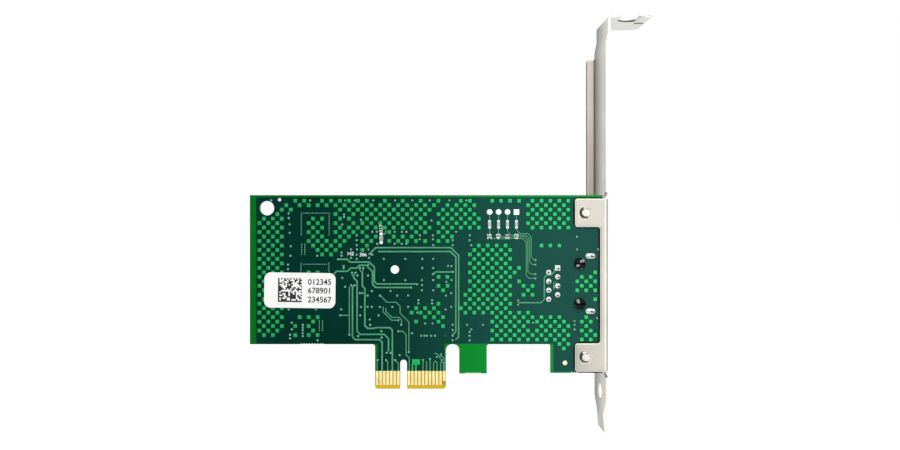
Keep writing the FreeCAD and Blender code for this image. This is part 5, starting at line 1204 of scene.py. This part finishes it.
# %% Crystal and inductor
drawn_steel = new_finish("drawn_nickel_silver_can", "#BFC0BE", "#D6D6D3", 3.0, grit=0.2, depth=0.004,
                         Metallic=1.0, Roughness=(0.2, 0.3))
pressed_iron = new_finish("pressed_iron_powder", "#2A2B2E", "#3B3D40", 0.4, grit=0.12, depth=0.03,
                          Roughness=(0.55, 0.7))
seat_plastic = new_finish("moulded_seat", "#141416", "#1E1F21", 2.0, grit=0.2, depth=0.012,
                          Roughness=(0.4, 0.55))
eased("crystal_can", 0.45, [drawn_steel], steps=4)
eased("crystal_base", 0.1, [seat_plastic])
eased("power_inductor", 0.35, [pressed_iron], steps=3)
eased("capacitor_bases", 0.15, [seat_plastic])

# %% [markdown]
# ## Electrolytic capacitors
# Each can is drawn from aluminium, pressed round its rubber bung, which leaves a groove near the foot,
# and scored on top so that it can open. A black segment on the top marks the negative side. The can
# is turned from one profile, and the marks are thin plates.

# %% Capacitor cans
can_aluminium = new_finish("drawn_aluminium", "#C9CACC", "#DCDDDF", 4.0, grit=0.15, depth=0.003,
                           Metallic=1.0, Roughness=(0.25, 0.36))
cans = solid_boxes("capacitor_cans")
can_radius, can_low, can_high = cans[0].wide / 2, cans[0].y0 - board.y1, cans[0].y1 - board.y1
CAN = [   # steps inwards from the can's radius, with heights over its foot: foot, groove and wall
    (0.15, 0), (0, 0.1), (0, 0.7), (0.22, 0.95), (0, 1.2)]
CAN_TOP = [   # the same, with depths under its top: a rolled rim round a sunken disc
    (0, 0.35), (0.1, 0.1), (0.35, 0), (0.5, 0.05), (can_radius, 0.05)]
shape = turned([(0, can_low)] + [(can_radius - inwards, can_low + up) for inwards, up in CAN]
               + [(can_radius - inwards, can_high - down) for inwards, down in CAN_TOP], 40)
drawing = bmesh.new()
stamp(drawing, shape, [(-can.x, can.z) for can in cans])
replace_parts(piece("turned_cans", on_face(drawing, "component"), [can_aluminium],
                  smooth=30), "capacitor_cans")

# %% Marks on the cans
SEGMENT_FROM, SEGMENT_RADIUS, SEGMENT_TALL = 0.9, can_radius - 0.55, 0.01
can_mark = new_finish("printed_segment", "#111112", "#1B1B1D", 1.0, grit=0.15, depth=0.004,
                      Roughness=(0.4, 0.55))
segment = bmesh.new()
bmesh.ops.create_circle(segment, cap_ends=True, segments=40, radius=SEGMENT_RADIUS)
bmesh.ops.bisect_plane(segment, geom=segment.verts[:] + segment.edges[:] + segment.faces[:],
                       plane_co=(SEGMENT_FROM, 0, 0), plane_no=(1, 0, 0), clear_inner=True)
raised = bmesh.ops.extrude_face_region(segment, geom=segment.faces[:])["geom"]
raised = [part for part in raised if isinstance(part, bmesh.types.BMVert)]
bmesh.ops.translate(segment, verts=raised, vec=(0, 0, SEGMENT_TALL))
bmesh.ops.recalc_face_normals(segment, faces=segment.faces)
drawing = bmesh.new()
stamp(drawing, segment, [(-can.x, can.z) for can in cans], lift=can_high - 0.049)
score = plate(2.6, 0.09, can_high - 0.035, below=-(can_high - 0.06))
stamp(drawing, score, [(-can.x - 0.2, can.z, turn) for can in cans for turn in (0, 90)])
piece("can_marks", on_face(drawing, "component"), [can_mark], smooth=0)

# %% [markdown]
# ## Chip parts
# The small parts are blocks of ceramic with silvery ends. A capacitor is tan all through; a resistor
# is white ceramic under a black glass film. Each solid's box gives the place, and which way it lies.

# %% Chip capacitors and resistors
tan_ceramic = new_finish("barium_titanate_ceramic", "#8F7148", "#A88A5F", 0.5, grit=0.08, depth=0.006,
                         Roughness=(0.45, 0.6))
black_film = new_finish("black_overglaze", "#0F0F10", "#1B1B1D", 0.4, grit=0.1, depth=0.004,
                        Roughness=(0.25, 0.4))
END = 0.24                     # the silvery ends' share of a chip's length
CAP_EASE, BODY_EASE = 0.05, 0.02


def block(low, high, ease, finish):
    """A block between two corners with eased edges."""
    shape = bmesh.new()
    bmesh.ops.create_cube(shape, size=1)
    low, high = Vector(low), Vector(high)
    shape.transform(Matrix.Translation((low + high) / 2) @ Matrix.Diagonal((*(high - low), 1)))
    bmesh.ops.bevel(shape, geom=shape.edges[:], offset=ease, offset_type="OFFSET", segments=1,
                    profile=0.5, affect="EDGES", clamp_overlap=False, material=-1)
    for face in shape.faces:
        face.material_index = finish
    return shape


# %% Bodies with end caps
for name, finish, slot in (("chip_capacitors", tan_ceramic, "capacitor_ceramic"),
                           ("chip_resistors", black_film, "resistor_ceramic")):
    drawing = bmesh.new()
    for chip in solid_boxes(name):
        high, turn = chip.y1 - board.y1, 0 if chip.wide >= chip.tall else 90
        long, wide = max(chip.wide, chip.tall) / 2, min(chip.wide, chip.tall) / 2
        inner = (1 - 2 * END) * long
        body_corners = (-inner - 0.05, -wide + 0.03, 0.04), (inner + 0.05, wide - 0.03, high - 0.02)
        for shape in (block(*body_corners, BODY_EASE, 0),
                      block((-long, -wide, 0), (-inner, wide, high), CAP_EASE, 1),
                      block((inner, -wide, 0), (long, wide, high), CAP_EASE, 1)):
            stamp(drawing, shape, [(-chip.x, chip.z, turn)])
    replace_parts(piece("capped_" + name, on_face(drawing, "component"), [finish, tinned]), name)

# %% [markdown]
# ## Component side
# The other face carries the parts, and between them the same kinds of artwork: tracks in matched
# pairs from the jack to the controller and on to the contacts, the same through-going vias, copper
# squares where there is room, and white outlines. It is drawn in the card's own directions, as if
# one looked through the board, and then turned over as a whole.

# %% Turning a drawing over
def turned_over(shape):
    """A drawing made in the card's directions, mirrored for the component side."""
    bmesh.ops.scale(shape, verts=shape.verts, vec=(-1, 1, 1))
    bmesh.ops.reverse_faces(shape, faces=shape.faces)
    return on_face(shape, "component")


# %% Room between the parts
controller, flash, regulator, magnetics, crystal, inductor, jack = map(node_box, (
    "controller_package", "flash_memory", "regulator", "magnetics_module", "crystal_base",
    "power_inductor", "jack_shield"))
parts = [controller, flash, regulator, magnetics, crystal, inductor, jack] + screws
for name in ("flash_leads", "regulator_leads", "magnetics_leads", "capacitor_bases", "chip_capacitors",
             "chip_resistors"):
    parts += solid_boxes(name)


def free(x, z, clear):
    """True where a spot is that far from every part."""
    return all(x < box.x0 - clear or x > box.x1 + clear or z < box.z0 - clear or z > box.z1 + clear
               for box in parts)


print("room is kept round", len(parts), "parts")

# %% [markdown]
# ## Pairs and buses
# A fast signal runs as a pair of tracks side by side. Each fan is worked out from its two rows of
# ends: straight out, a diagonal to the new height, and straight in. The outer lines turn first, so
# that they never cross.

# %% Pairs from the jack to the controller
def fan(starts, ends, turn_at):
    """Routes from left spots to right spots of the same order, each with one diagonal after turn_at."""
    made = []
    for (x0, z0), (x1, z1), lead in zip(starts, ends, turn_at):
        way, rise = "NE" if z1 > z0 else "SE", abs(z1 - z0)
        rest = max(x1 - x0 - lead - rise, 0.01)
        made.append(((x0, z0), f"E{lead:.3f} {way}{rise:.3f} E{rest:.3f}"))
    return made


resistors = sorted((box for box in solid_boxes("chip_resistors") if 10 < box.x < 12),
                   key=lambda box: box.z)
leads = solid_boxes("magnetics_leads")
near_leads, far_leads = leads[:len(leads) // 2], leads[len(leads) // 2:]
pins = sorted(joints[:PINS], key=lambda joint: joint.z)
PAD_PITCH = 0.5                # of the controller's pads
rows = [controller.z + PAD_PITCH * (index - 2.5) for index in range(6)]
ends = [box.z for box in resistors]
picked = [near_leads[index] for index in (2, 3, 5, 6, 8, 9)]
routes = fan([(controller.x1 + 0.1, z) for z in rows], [(resistors[0].x0, z) for z in ends],
             [0.5, 1, 1.5, 1.5, 1, 0.5])
routes += fan([(resistors[0].x1, z) for z in ends], [(box.x0, box.z) for box in picked], [4.5] * 6)
routes += fan([(box.x1, box.z) for box in far_leads[2:10]], [(pin.x, pin.z) for pin in pins], [0.6] * 8)
fine_routes = dict(enumerate(routes))
print(len(routes), "fanned routes")

# %% Buses and supplies
bus = {   # start along the controller's lower edge, and runs
    "receive pair a": (-6.2, "S5.4 SE0.8 S14.2"), "receive pair b": (-5.7, "S5.2 SE0.8 S14.4"),
    "transmit pair a": (-1.2, "S4.2 SE3.6 S12.0"), "transmit pair b": (-0.7, "S4.0 SE3.6 S12.0"),
    "clock pair a": (0.3, "S3.0 SE5.1 S16.0"), "clock pair b": (0.8, "S2.8 SE5.6 S15.6"),
    "reset": (-3.2, "S2.0 SW1.2 S8.0"), "wake": (1.3, "S2.4 SE7.2 S14.6"),
}
for name, (x, runs) in bus.items():
    fine_routes[name] = ((x, controller.z0 - 0.1), runs)
for index, box in enumerate(solid_boxes("flash_leads")[4:]):
    runs = f"E{1.2 + 0.5 * index:.2f} SE1.10 S{box.z - 40.0 - 0.5 * (3 - index):.2f} SE0.90"
    fine_routes[f"flash line {index}"] = ((box.x1, box.z), runs)
fine_routes["crystal a"] = ((crystal.x0 + 1.0, crystal.z0), "S1.6 SW0.7 S1.2")
fine_routes["crystal b"] = ((crystal.x0 + 5.0, crystal.z0), "S1.2 SW2.6 W1.0")
cans_box = node_box("capacitor_bases")
wide_routes = {
    "regulator to inductor": ((regulator.x - 2.3, regulator.z0 - 0.5), "W3.4 NW1.4 W1.3"),
    "inductor to cans": ((inductor.x0 + 0.3, inductor.z), "W2.2 NW1.6 N6.4"),
    "supply to controller": ((regulator.x, regulator.z1 + 1.0), "N4.6 NE2.4 E3.2"),
    "between the cans": ((cans_box.x, cans_box.z - 2.0), "N4.0"),
    "header supply": ((HEADER_X[0], HEADER_Z), "S5.4 SW1.6 S2.6"),
}
print(len(fine_routes), "fine and", len(wide_routes), "wide tracks")

# %% Component-side tracks
SUPPLY, FINE, FINE_GAP, FINE_TRACK_TOP = 1.0, 0.22, 0.1, 0.035
drawing = bmesh.new()
draw_tracks(drawing, wide_routes, SUPPLY + 2 * GAP, WIDE_GAP_TOP, 1)
draw_tracks(drawing, fine_routes, FINE + 2 * FINE_GAP, THIN_GAP_TOP, 1)
draw_tracks(drawing, wide_routes, SUPPLY, WIDE_TOP, 0)
draw_tracks(drawing, fine_routes, FINE, FINE_TRACK_TOP, 0)
piece("component_side_tracks", turned_over(drawing), [track_green, gap_green])

# %% [markdown]
# ## Vias and squares that show here too
# A via goes right through, so it is on both sides, but where a part covers it. The copper squares
# stand where neither a part nor a track of this side is near.

# %% Component-side vias and squares
through = [spot for spot in spots_of_vias if free(*spot, 0.5)]
drawing = bmesh.new()
stamp(drawing, via(VIA_RADIUS, VIA_TOP, 10), through, 0)
piece("component_side_vias", turned_over(drawing), [via_green, gap_green])


def near_track(x, z, reach, routes):
    """True where a spot is within reach of a run of a route."""
    spot = Vector((x, z, 0))
    for start, runs in routes.values():
        corners = route(start, runs)
        for a, b in zip(corners, corners[1:]):
            along = b - a
            share = min(max((spot - a).dot(along) / max(along.length_squared, 1e-6), 0), 1)
            if (a + along * share - spot).length < reach:
                return True
    return False


squares = [spot for spot in square_spots
           if free(*spot, 1.5)
           and not near_track(*spot, 1.3, fine_routes) and not near_track(*spot, 1.6, wide_routes)
           and min(abs(spot[0] - x) + abs(spot[1] - HEADER_Z) for x in HEADER_X) > 2.2]
drawing = bmesh.new()
stamp_squares(drawing, squares)
piece("component_side_squares", turned_over(drawing), [masked_copper, gap_green],
      smooth=0)
print(len(through), "vias and", len(squares), "squares on the component side")

# %% [markdown]
# ## Pads and fillets
# Every lead and chip end stands on a tinned pad that is larger than its foot, with a small slope of
# solder up its side. A low plate with sloping shoulders under each foot shows both. The header's
# holes are still open on this side, with a ring round each.

# %% Pads under leads
FOOT, FOOT_BACK = 0.9, 0.3     # length of a foot's pad, and from a lead's end to the pad's middle
PAD_TOP, PAD_SLOPE = 0.1, 0.1
drawing = bmesh.new()
for name, body in (("flash_leads", flash), ("regulator_leads", regulator),
                   ("magnetics_leads", magnetics)):
    for box in solid_boxes(name):
        if box.wide < box.tall:
            foot = box.z1 - FOOT_BACK if box.z > body.z else box.z0 + FOOT_BACK
            stamp(drawing, plate(box.wide + 0.3, FOOT, PAD_TOP, PAD_SLOPE), [(box.x, foot)])
        else:
            foot = box.x1 - FOOT_BACK if box.x > body.x else box.x0 + FOOT_BACK
            stamp(drawing, plate(FOOT, box.tall + 0.24, PAD_TOP, PAD_SLOPE), [(foot, box.z)])

# %% Pads under chips, and the header's rings
PAD_LONG, PAD_WIDE = 0.75, 0.95
FILLET_TOP, FILLET_SLOPE = 0.16, 0.15
RING = [(0, -0.01), (0.78, -0.01), (0.74, 0.05), (0.45, 0.05), (0.4, 0.0), (0, 0.0)]
for name in ("chip_capacitors", "chip_resistors"):
    for box in solid_boxes(name):
        reach = max(box.wide, box.tall) / 2 - 0.05
        if box.wide > box.tall:
            size, spots = (PAD_LONG, PAD_WIDE), [(box.x - reach, box.z), (box.x + reach, box.z)]
        else:
            size, spots = (PAD_WIDE, PAD_LONG), [(box.x, box.z - reach), (box.x, box.z + reach)]
        stamp(drawing, plate(*size, FILLET_TOP, FILLET_SLOPE), spots)
ring = turned(RING, 20)
stamp(drawing, ring, [(x, HEADER_Z) for x in HEADER_X])
piece("component_side_pads", turned_over(drawing), [solder], smooth=30)

# %% [markdown]
# ## Outlines and numbers
# White outlines show where each part goes and which way round, and each part has a plain number.

# %% Outlines
LINE, HALF_PITCH = 0.15, 1.27  # width of an outline, and half of the header's pitch


def outline_of(target, x0, x1, z0, z1):
    """A rectangle of four thin plates of ink."""
    for z in (z0, z1):
        stamp(target, plate(x1 - x0, LINE, LIFT + INK, below=-LIFT), [((x0 + x1) / 2, z)])
    for x in (x0, x1):
        stamp(target, plate(LINE, z1 - z0, LIFT + INK, below=-LIFT), [(x, (z0 + z1) / 2)])


drawing = bmesh.new()
for box, clear in ((controller, 0.55), (regulator, 0.35), (crystal, 0.3), (inductor, 0.35),
                   (magnetics, 0.3), *((can, 0.35) for can in cans)):
    outline_of(drawing, box.x0 - clear, box.x1 + clear, box.z0 - clear, box.z1 + clear)
outline_of(drawing, HEADER_X[0] - HALF_PITCH, HEADER_X[3] + HALF_PITCH, HEADER_Z - HALF_PITCH,
           HEADER_Z + HALF_PITCH)
outline_of(drawing, jack.x0 - 0.4, board.x1 - 0.6, jack.z0 - 0.4, jack.z1 + 0.4)
drawing = turned_over(drawing)

# %% Component-side legend
NUMBERS = (   # figures, place along the card, and height
    ("101", controller.x0 - 0.1, controller.z0 - 1.5), ("102", flash.x + 0.2, flash.z1 + 1.1),
    ("103", regulator.x1 + 1.8, regulator.z), ("104", crystal.x + 4.0, crystal.z1 + 1.1),
    ("105", inductor.x, inductor.z0 - 1.2), ("106", 31.5, 38.9), ("201", -29.0, 41.2),
    ("202", -29.0, 33.0), ("301", HEADER_X[0] - 2.6, HEADER_Z), ("302", 38.2, 39.8), ("11", 13.2, 36.5),
    ("12", 13.2, 28.8), ("13", 7.2, 33.8), ("14", -12.0, 36.8), ("15", 19.6, 25.2), ("16", 19.6, 34.6),
    ("17", -33.4, 22.0), ("18", -0.1, 45.6),
)
numbers = bmesh.new()
for figures, x, z in NUMBERS:
    written(numbers, figures, FIGURES, -x, z, lift=LIFT)
on_face(numbers, "component")
joined = bpy.data.meshes.new("joined")
numbers.to_mesh(joined)
numbers.free()
drawing.from_mesh(joined)
bpy.data.meshes.remove(joined)
piece("component_side_legend", drawing, [legend_ink], smooth=0)
